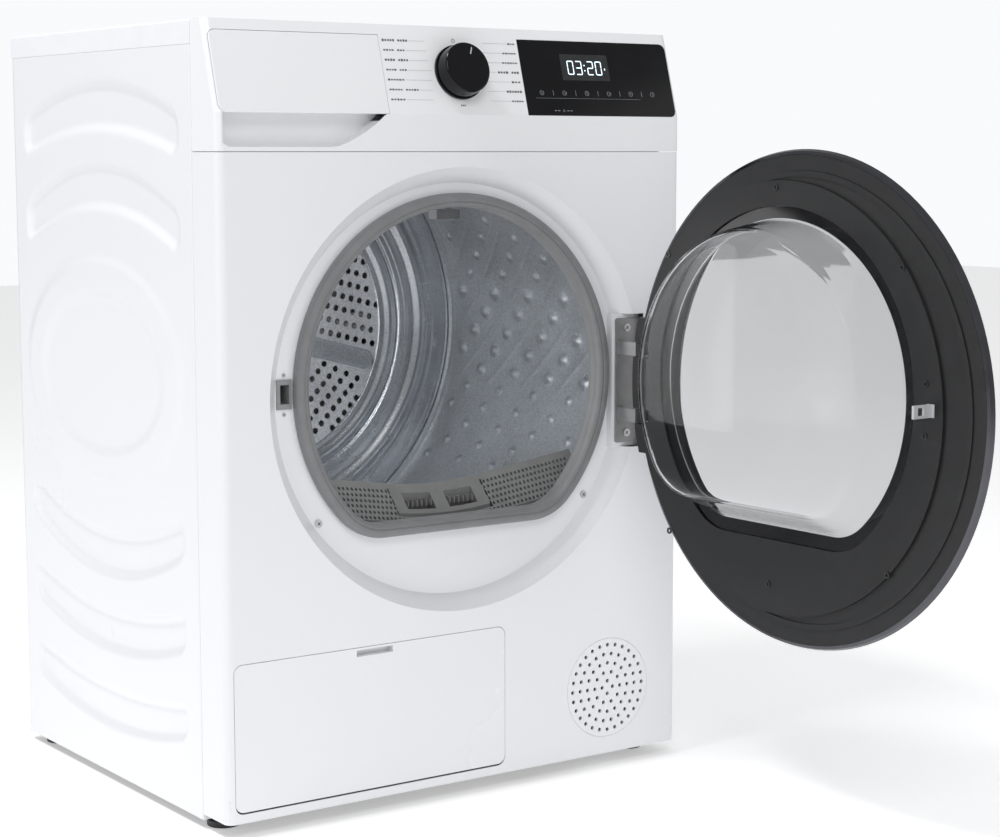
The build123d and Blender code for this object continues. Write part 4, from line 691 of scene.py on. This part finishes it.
class DRYER_OT_mouth(bpy.types.Operator):
    """Folded rubber seal round the mouth, and the perforated ramp over the lint filter"""

    bl_idname = "dryer.mouth"
    bl_label = "Mouth"

    def execute(self, context):
        sizes = context.scene.dryer_sizes
        outline, normals = d_outline(0.205, 0.297, 0.070, MOUTH_Z)
        profile = rounded([
            (-0.0072, -0.2252), (-0.0072, -0.2350), (-0.0004, -0.2352), (-0.0002, -0.2440), (-0.0030, -0.2474),
            (-0.0085, -0.2479), (-0.0098, -0.2462), (-0.0110, -0.2476), (-0.0150, -0.2456), (-0.0159, -0.2400),
            (-0.0150, -0.2360), (-0.0158, -0.2320), (-0.0155, -0.2252), (-0.0072, -0.2252),
        ], 0.0022, 4)
        seal = surface("door_seal_rubber", swept(outline, normals, profile), "seal", wrap_u=True)
        settle(seal, "cabinet", "door_seal", "door_seal")

        # The ramp rises to the rear and, by x squared, towards its sides.
        front, rear = float(housing_low[1]) + 0.0001, float(housing_high[1]) - 0.0001

        def place(u, v, w):
            share = (v - front) / (rear - front)
            height = RAMP_FRONT_Z + share * (RAMP_REAR_Z - RAMP_FRONT_Z) + ramp_rise(u)
            return np.stack([u, v + w * 0.5, height - w], -1)

        rows, columns = 7, 70
        half_u, half_v = RAMP_HALF / columns, (rear - front) / rows / 2
        v, u = np.meshgrid(front + half_v * (2 * np.arange(rows) + 1), np.arange(-columns - 1, columns + 2, 2) * half_u, indexing="ij")
        u = u + (np.arange(rows)[:, None] % 2) * half_u
        centres = np.stack([u.ravel(), v.ravel()], -1)
        centres = centres[np.abs(centres[:, 0]) < RAMP_HALF + half_u * 0.1]
        slot = (np.abs(centres[:, 0]) < 0.0612) & (centres[:, 1] > -0.2142) & (centres[:, 1] < -0.1896)
        holed = ~slot & (centres[:, 1] < rear - 2 * half_v) & (np.abs(centres[:, 0]) < RAMP_HALF - 2 * half_u)
        points, faces = holed_cells(centres[holed], half_u, half_v, sizes.lint_hole, place, 0.002)
        p, f = plain_cells(centres[~slot & ~holed], half_u, half_v, place, len(points))
        ramp = add_mesh("filter_ramp", np.concatenate([points, p]), faces + f, "lint", smooth=False)
        settle(ramp, "cabinet", "filter_housing", "filter_housing")

        # The box under the ramp: its outline at the front and at the rear, joined and capped.
        x = np.linspace(-RAMP_HALF, RAMP_HALF, 80)
        bottom = DRUM_AXIS_Z - np.sqrt(0.265 ** 2 - x ** 2)
        loops = []
        for depth, height in ((front, RAMP_FRONT_Z), (rear, RAMP_REAR_Z)):
            top = height + ramp_rise(x) - 0.0003
            loop = np.concatenate([np.stack([x, bottom], -1), np.stack([x, top], -1)[::-1]])
            loops.append(np.stack([loop[:, 0], np.full(len(loop), depth), loop[:, 1]], -1))
        grid = np.stack(loops, 1)
        n = len(x)
        wall = lattice_faces(2 * n, 2, wrap_u=True, flip=True)
        skirt = [q for q in wall if not (n <= min(q) // 2 and max(q) // 2 < 2 * n and max(q) // 2 - min(q) // 2 == 1)]
        strip = np.arange(n - 1)
        for end, turn in ((0, False), (1, True)):
            a, b = 2 * strip + end, 2 * (strip + 1) + end
            c, d = 2 * (2 * n - 2 - strip) + end, 2 * (2 * n - 1 - strip) + end
            cap = np.stack([a, b, c, d], -1)
            skirt += (cap[:, ::-1] if turn else cap).tolist()
        settle(add_mesh("filter_box", grid, skirt, "lint", smooth=False), "cabinet", "filter_housing", "filter_housing")

        # Comb ribs inside the two finger windows of the lint filter.
        points, faces = [], []
        box = np.array([(x, y, z) for x in (-1, 1) for y in (-1, 1) for z in (-1, 1)], float)
        quads = [(0, 1, 3, 2), (4, 6, 7, 5), (0, 4, 5, 1), (2, 3, 7, 6), (0, 2, 6, 4), (1, 5, 7, 3)]
        for middle in (*np.arange(-0.0425, -0.012, 0.006), *np.arange(0.0125, 0.043, 0.006)):
            faces += [[i + 8 * len(points) for i in q] for q in quads]
            points.append(box * [0.0009, 0.0050, 0.0035] + [middle, -0.1992, 0.3235])
        settle(add_mesh("filter_combs", np.concatenate(points), faces, "lint", smooth=False), "lint_filter", "lint_filter")
        return {"FINISHED"}


# ------------------------------------------------------------------ door
class DRYER_OT_door_window(bpy.types.Operator):
    """Clear moulded bowl of the door window with its flange"""

    bl_idname = "dryer.door_window"
    bl_label = "Door Window"

    def execute(self, context):
        sizes = context.scene.dryer_sizes
        # Stations of the bowl: (radius, chord, corner radius, depth), from the flange to the end.
        stations = np.array([
            (0.1905, 0.3010, 0.0640, -0.2606), (0.1850, 0.3070, 0.0620, -0.2606), (0.1800, 0.3125, 0.0610, -0.2604),
            (0.1783, 0.3145, 0.0605, -0.2592), (0.1772, 0.3170, 0.0600, -0.2560), (0.1757, 0.3215, 0.0592, -0.2460),
            (0.1738, 0.3270, 0.0583, -0.2340), (0.1716, 0.3330, 0.0573, -0.2220), (0.1698, 0.3385, 0.0564, -0.2120),
            (0.1680, 0.3425, 0.0556, -0.2050), (0.1652, 0.3465, 0.0545, -0.2010), (0.1605, 0.3520, 0.0530, -0.19845),
            (0.1540, 0.3590, 0.0505, -0.19785), (0.1400, 0.3740, 0.0455, -0.1976), (0.1100, 0.4030, 0.0350, -0.1976),
            (0.0700, 0.4280, 0.0220, -0.1976), (0.0300, 0.4500, 0.0100, -0.1976),
        ])
        loops = []
        for radius, chord, corner, depth in stations:
            outline, _ = d_outline(radius, chord, corner, WINDOW_Z, 220)
            loops.append(np.stack([outline[:, 0], np.full(len(outline), depth), outline[:, 1]], -1))
        grid = on_door(np.stack(loops, 1))
        bowl = surface("door_window_bowl", grid, "window", wrap_u=True, flip=True, poles=(None, grid[:, -1].mean(0)))
        thicken(bowl, sizes.window_wall, -1.0)
        settle(bowl, "door", "door_bowl", "door_bowl")
        return {"FINISHED"}


# ------------------------------------------------------------------ controls
class DRYER_OT_controls(bpy.types.Operator):
    """Printed program marks, display segments and touch symbols on the control panel"""

    bl_idname = "dryer.controls"
    bl_label = "Controls"

    def execute(self, context):
        dark, thin = [], []
        knob_v = 0.0463
        left = (0.052, 0.044, 0.048, 0.042, 0.034, 0.060, 0.030)
        right = (0.016, 0.030, 0.034, 0.046, 0.020, 0.034, 0.026)
        for row in range(7):
            v = 0.0805 - row * 0.0108
            reach = 0.0335 + 0.0012 * abs(row - 3)
            for words, side in ((left[row], -1), (right[row], 1)):
                outer = 0.0905 if side < 0 else 0.0805
                bold = row in (0, 2) if side < 0 else row in (3, 5)
                letters = max(3, int(words / 0.0052))
                start = side * outer if side < 0 else outer - words * 0.62
                run = words * 0.62
                for i in range(letters):
                    if letters > 7 and i == letters // 2:
                        continue
                    width = run / letters * (0.62 if i % 3 else 0.74)
                    u = start + (i + 0.5) * run / letters
                    tall = 0.0019 if (i * 7 + row) % 4 else 0.0024
                    dark.append(bar(u, v, width, tall * (1.12 if bold else 0.86)))
                near = side * reach
                far = start + run + 0.0015 if side < 0 else start - 0.0015
                if abs(far - near) > 0.002:
                    thin.append(bar((near + far) / 2, v, abs(far - near), 0.00028))
        dark += ring_pieces(0.0, 0.0822, 0.0019, 0.0005, 115, 425, 18)
        dark.append(bar(0.0, 0.0838, 0.0005, 0.0021))
        dark += [bar(-0.0022 + 0.0022 * i, 0.0102, 0.0012, 0.0019) for i in range(3)]
        settle(flat_shapes("program_marks", dark, 0.00008, "print"), "cabinet", "control_panel")
        settle(flat_shapes("program_lines", thin, 0.00006, "faint_print"), "cabinet", "control_panel")

        # Display: a slightly lighter screen with seven-segment figures.
        centre, middle = 0.176, 0.0555
        settle(flat_shapes("display_screen", [bar(0.172, 0.0560, 0.066, 0.0300)], 0.00004, "screen"), "cabinet", "display_glass")
        figures = {"0": "abcdef", "2": "abged", "3": "abgcd", "5": "afgcd", "6": "afgedc", "8": "abcdefg"}
        tall, wide, stroke, gap = 0.0150, 0.0076, 0.0011, 0.00035
        h = tall / 2
        segments = {
            "a": bar(0, h, wide - 2 * gap, stroke), "g": bar(0, 0, wide - 2 * gap, stroke), "d": bar(0, -h, wide - 2 * gap, stroke),
            "b": bar(wide / 2, h / 2, stroke, h - 2 * gap), "c": bar(wide / 2, -h / 2, stroke, h - 2 * gap),
            "f": bar(-wide / 2, h / 2, stroke, h - 2 * gap), "e": bar(-wide / 2, -h / 2, stroke, h - 2 * gap),
        }
        shapes = []
        for figure, u in zip("0320", (-0.0230, -0.0115, 0.0045, 0.0160)):
            for key in figures[figure]:
                shapes.append([(a + centre + u - 0.001, b + middle) for a, b in segments[key]])
        shapes += [bar(centre - 0.0045, middle + dv, 0.0014, 0.0014) for dv in (-0.003, 0.003)]
        shapes.append(bar(centre + 0.0235, middle - 0.001, 0.0012, 0.0022))
        settle(flat_shapes("display_digits", shapes, 0.00009, "light", lift=0.00008), "cabinet", "display_glass")

        # Touch symbols: small rings with a tick, separated by short lines, over a thin rule.
        symbols = []
        for i, u in enumerate(np.linspace(0.107, 0.262, 6)):
            symbols += ring_pieces(u, 0.0262, 0.0026, 0.00042, 100 - 25 * (i % 3), 420 - 20 * (i % 2), 14)
            symbols.append(bar(u + 0.0006 * (i % 2), 0.0268, 0.0004, 0.0024))
            symbols.append(bar(u + 0.0009, 0.0258, 0.0018, 0.0004))
            if i < 5:
                symbols.append(bar(u + 0.0155, 0.0262, 0.0004, 0.0062))
        symbols.append(bar(0.171, 0.0200, 0.146, 0.00022))
        for u in (0.122, 0.1265, 0.139, 0.1435):
            symbols.append(bar(u, 0.0058, 0.0030, 0.0007))
        symbols += ring_pieces(0.1335, 0.0058, 0.0012, 0.0004, 0, 360, 10)
        settle(flat_shapes("touch_symbols", symbols, 0.00005, "icon"), "cabinet", "display_glass")

        # Knob: a fine pointer line near the rim of its top.
        fine = [bar(0.0, 0.0195, 0.0014, 0.0080)]
        c, s = math.cos(math.radians(-20)), math.sin(math.radians(-20))
        fine = [[(u * c - v * s, knob_v + u * s + v * c) for u, v in fine[0]]]
        pointer = flat_shapes("knob_pointer", fine, 0.0001, "light_grey", lift=0.02102)
        settle(pointer, "program_knob", "program_knob")
        return {"FINISHED"}


# ------------------------------------------------------------------ fasteners
class DRYER_OT_fasteners(bpy.types.Operator):
    """Black crosses on the visible screw heads: painted shade standing in for their cross recesses"""

    bl_idname = "dryer.fasteners"
    bl_label = "Fasteners"

    def execute(self, context):
        heads = [(-0.2145, -0.2360, 0.4786, 1.3), (-0.2145, -0.2360, 0.4374, 1.3), (-0.1747, -0.2366, 0.319, 2.6),
                 (0.1747, -0.2366, 0.319, 2.6), (0.2275, -0.2486, 0.509, 2.8), (0.2275, -0.2486, 0.388, 2.8)]
        points, faces = [], []
        # Each head gets two crossed black quads just in front of it, as painted shade of its cross recess.
        for x, y, z, size in heads:
            for turn in (math.radians(35), math.radians(125)):
                c, s = math.cos(turn), math.sin(turn)
                corner = np.array([[-1, -1], [1, -1], [1, 1], [-1, 1]]) * [size * MM * 0.85, size * MM * 0.17]
                flat = np.stack([x + corner[:, 0] * c - corner[:, 1] * s, np.full(4, y - 0.00006), z + corner[:, 0] * s + corner[:, 1] * c], -1)
                faces.append(list(range(4 * len(points), 4 * len(points) + 4)))
                points.append(flat)
        # The black plastic finish here is painted shade, not a real black part of the screws.
        settle(add_mesh("screw_recess_painted_shade", np.concatenate(points), faces, "black", smooth=False), "cabinet", "cabinet_screws")
        return {"FINISHED"}


# ------------------------------------------------------------------ finishes of the CAD pieces
CAD_FINISHES = {
    "enamel": ["front_panel"],
    "white_plastic": ["control_panel", "tank_front", "service_flap", "cooling_grille"],
    "laminate": ["worktop"],
    "zinc": ["rear_panel", "front_bulkhead", "rear_bulkhead", "crossbars"],
    "drum": ["drum_lifters"],
    "lint": ["lint_filter"],
    "door": ["door_frame"],
    "black_gloss": ["display_glass", "window_trim", "program_knob"],
    "black_satin": ["latch_catch", "door_screws"],
    "dark_metal": ["door_ring"],
    "hinge": ["hinge_bracket", "door_hinge_leaf"],
    "steel": ["motor_rotor", "cabinet_screws"],
    "mid_grey": ["latch_housing"],
    "light_grey": ["door_hook", "cover_latch_left", "cover_latch_right"],
    "grey": ["tank_rail", "exchanger_cover", "air_ducts", "motor_stator"],
    "black": ["base_tub", "cooling_fan", "condensate_pump", "drain_spigot", "cable_gland", "compressor",
              "front_left_foot", "front_right_foot", "rear_left_foot", "rear_right_foot"],
    "smoked": ["door_glass"],
    "felt": ["drum_felt_seals"],
    "foam": ["foam_filter"],
    "copper": ["refrigerant_pipes"],
    "fins": ["heat_exchangers"],
    "board": ["control_board"],
    "milky": ["tank_tub"],
    "belt": ["drum_belt"],
    "lamp": ["drum_lamp"],
    "nylon": ["idler_pulley", "left_roller", "right_roller"],
}


class DRYER_OT_finishes(bpy.types.Operator):
    """Gives every carried-over CAD piece its finish"""

    bl_idname = "dryer.finishes"
    bl_label = "Finishes"

    def execute(self, context):
        for finish_name, nodes in CAD_FINISHES.items():
            for node in nodes:
                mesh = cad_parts[node].data
                mesh.materials.clear()
                mesh.materials.append(coat(finish_name))
        return {"FINISHED"}


# ------------------------------------------------------------------ stage
class DRYER_OT_stage(bpy.types.Operator):
    """Pale floor, soft studio light and the camera"""

    bl_idname = "dryer.stage"
    bl_label = "Stage"

    def execute(self, context):
        scene = context.scene
        x = np.linspace(-9, 9, 3)
        xx, yy = np.meshgrid(x, x, indexing="ij")
        floor = surface("floor", np.stack([xx, yy, np.zeros_like(xx) - 0.0002], -1), "floor")
        shine = floor.data.materials[0].node_tree.nodes["Principled BSDF"]
        shine.inputs["Emission Color"].default_value = (1.0, 1.0, 1.0, 1.0)
        shine.inputs["Emission Strength"].default_value = 0.40
        world = bpy.data.worlds.new("studio")
        world.use_nodes = True
        background = world.node_tree.nodes["Background"]
        background.inputs["Color"].default_value = (0.98, 0.99, 1.0, 1.0)
        path = world.node_tree.nodes.new("ShaderNodeLightPath")
        strength = world.node_tree.nodes.new("ShaderNodeMapRange")
        strength.inputs["To Min"].default_value = 0.44
        strength.inputs["To Max"].default_value = 0.97
        world.node_tree.links.new(path.outputs["Is Camera Ray"], strength.inputs["Value"])
        world.node_tree.links.new(strength.outputs["Result"], background.inputs["Strength"])
        scene.world = world
        scene.view_settings.view_transform = "Standard"
        lamps = (
            ("key", (-1.0, -2.3, 2.3), (54, 0, -22), (1.4, 0.9), 19.0),
            ("fill", (2.6, -2.2, 1.4), (72, 0, 52), (1.2, 1.6), 3.5),
            ("side", (-1.3, 0.1, 3.0), (22, 0, -90), (1.4, 0.5), 46.0),
            ("drum_left", (-0.215, 0.0, 0.50), (90, 0, -90), (0.24, 0.30), 0.85),
            ("drum_front", (-0.05, -0.17, 0.655), (40, 0, -10), (0.16, 0.04), 0.30),
        )
        for name, place, turn, size, power in lamps:
            light = bpy.data.lights.new(name, "AREA")
            light.shape, light.size, light.size_y, light.energy = "RECTANGLE", *size, power
            lamp = bpy.data.objects.new(name, light)
            lamp.location = place
            lamp.rotation_euler = [math.radians(t) for t in turn]
            scene.collection.objects.link(lamp)
        camera = bpy.data.cameras.new("camera")
        camera.sensor_fit, camera.sensor_width, camera.lens = "HORIZONTAL", 36.0, 80.14
        camera.shift_x, camera.shift_y = -0.0276, 0.0050
        camera.clip_start, camera.clip_end = 0.05, 50.0
        viewer = bpy.data.objects.new("camera", camera)
        viewer.location = (-1.3438, -2.2502, 0.7089)
        viewer.rotation_euler = (math.radians(83.034), 0.0, math.radians(-35.559))
        scene.collection.objects.link(viewer)
        scene.camera = viewer
        return {"FINISHED"}


OPERATORS = (
    DRYER_OT_side_panels,
    DRYER_OT_drum,
    DRYER_OT_mouth,
    DRYER_OT_door_window,
    DRYER_OT_controls,
    DRYER_OT_fasteners,
    DRYER_OT_finishes,
    DRYER_OT_stage,
)


class DRYER_PT_pieces(bpy.types.Panel):
    """Sidebar panel that lists the dryer's settings and builders"""

    bl_label = "Clothes Dryer"
    bl_idname = "DRYER_PT_pieces"
    bl_space_type = "VIEW_3D"
    bl_region_type = "UI"
    bl_category = "Dryer"

    def draw(self, context):
        for group in (context.scene.dryer_sizes, context.scene.dryer_colours):
            for key in group.bl_rna.properties.keys():
                if key not in ("rna_type", "name"):
                    self.layout.prop(group, key)
        for operator in OPERATORS:
            self.layout.operator(operator.bl_idname)


def register():
    for kind in (DryerSizes, DryerColours, *OPERATORS, DRYER_PT_pieces):
        bpy.utils.register_class(kind)
    bpy.types.Scene.dryer_sizes = bpy.props.PointerProperty(type=DryerSizes)
    bpy.types.Scene.dryer_colours = bpy.props.PointerProperty(type=DryerColours)


def unregister():
    del bpy.types.Scene.dryer_colours
    del bpy.types.Scene.dryer_sizes
    for kind in reversed((DryerSizes, DryerColours, *OPERATORS, DRYER_PT_pieces)):
        bpy.utils.unregister_class(kind)


def main():
    register()
    for operator in OPERATORS:
        group, name = operator.bl_idname.split(".")
        getattr(getattr(bpy.ops, group), name)()


if __name__ == "__main__":
    main()
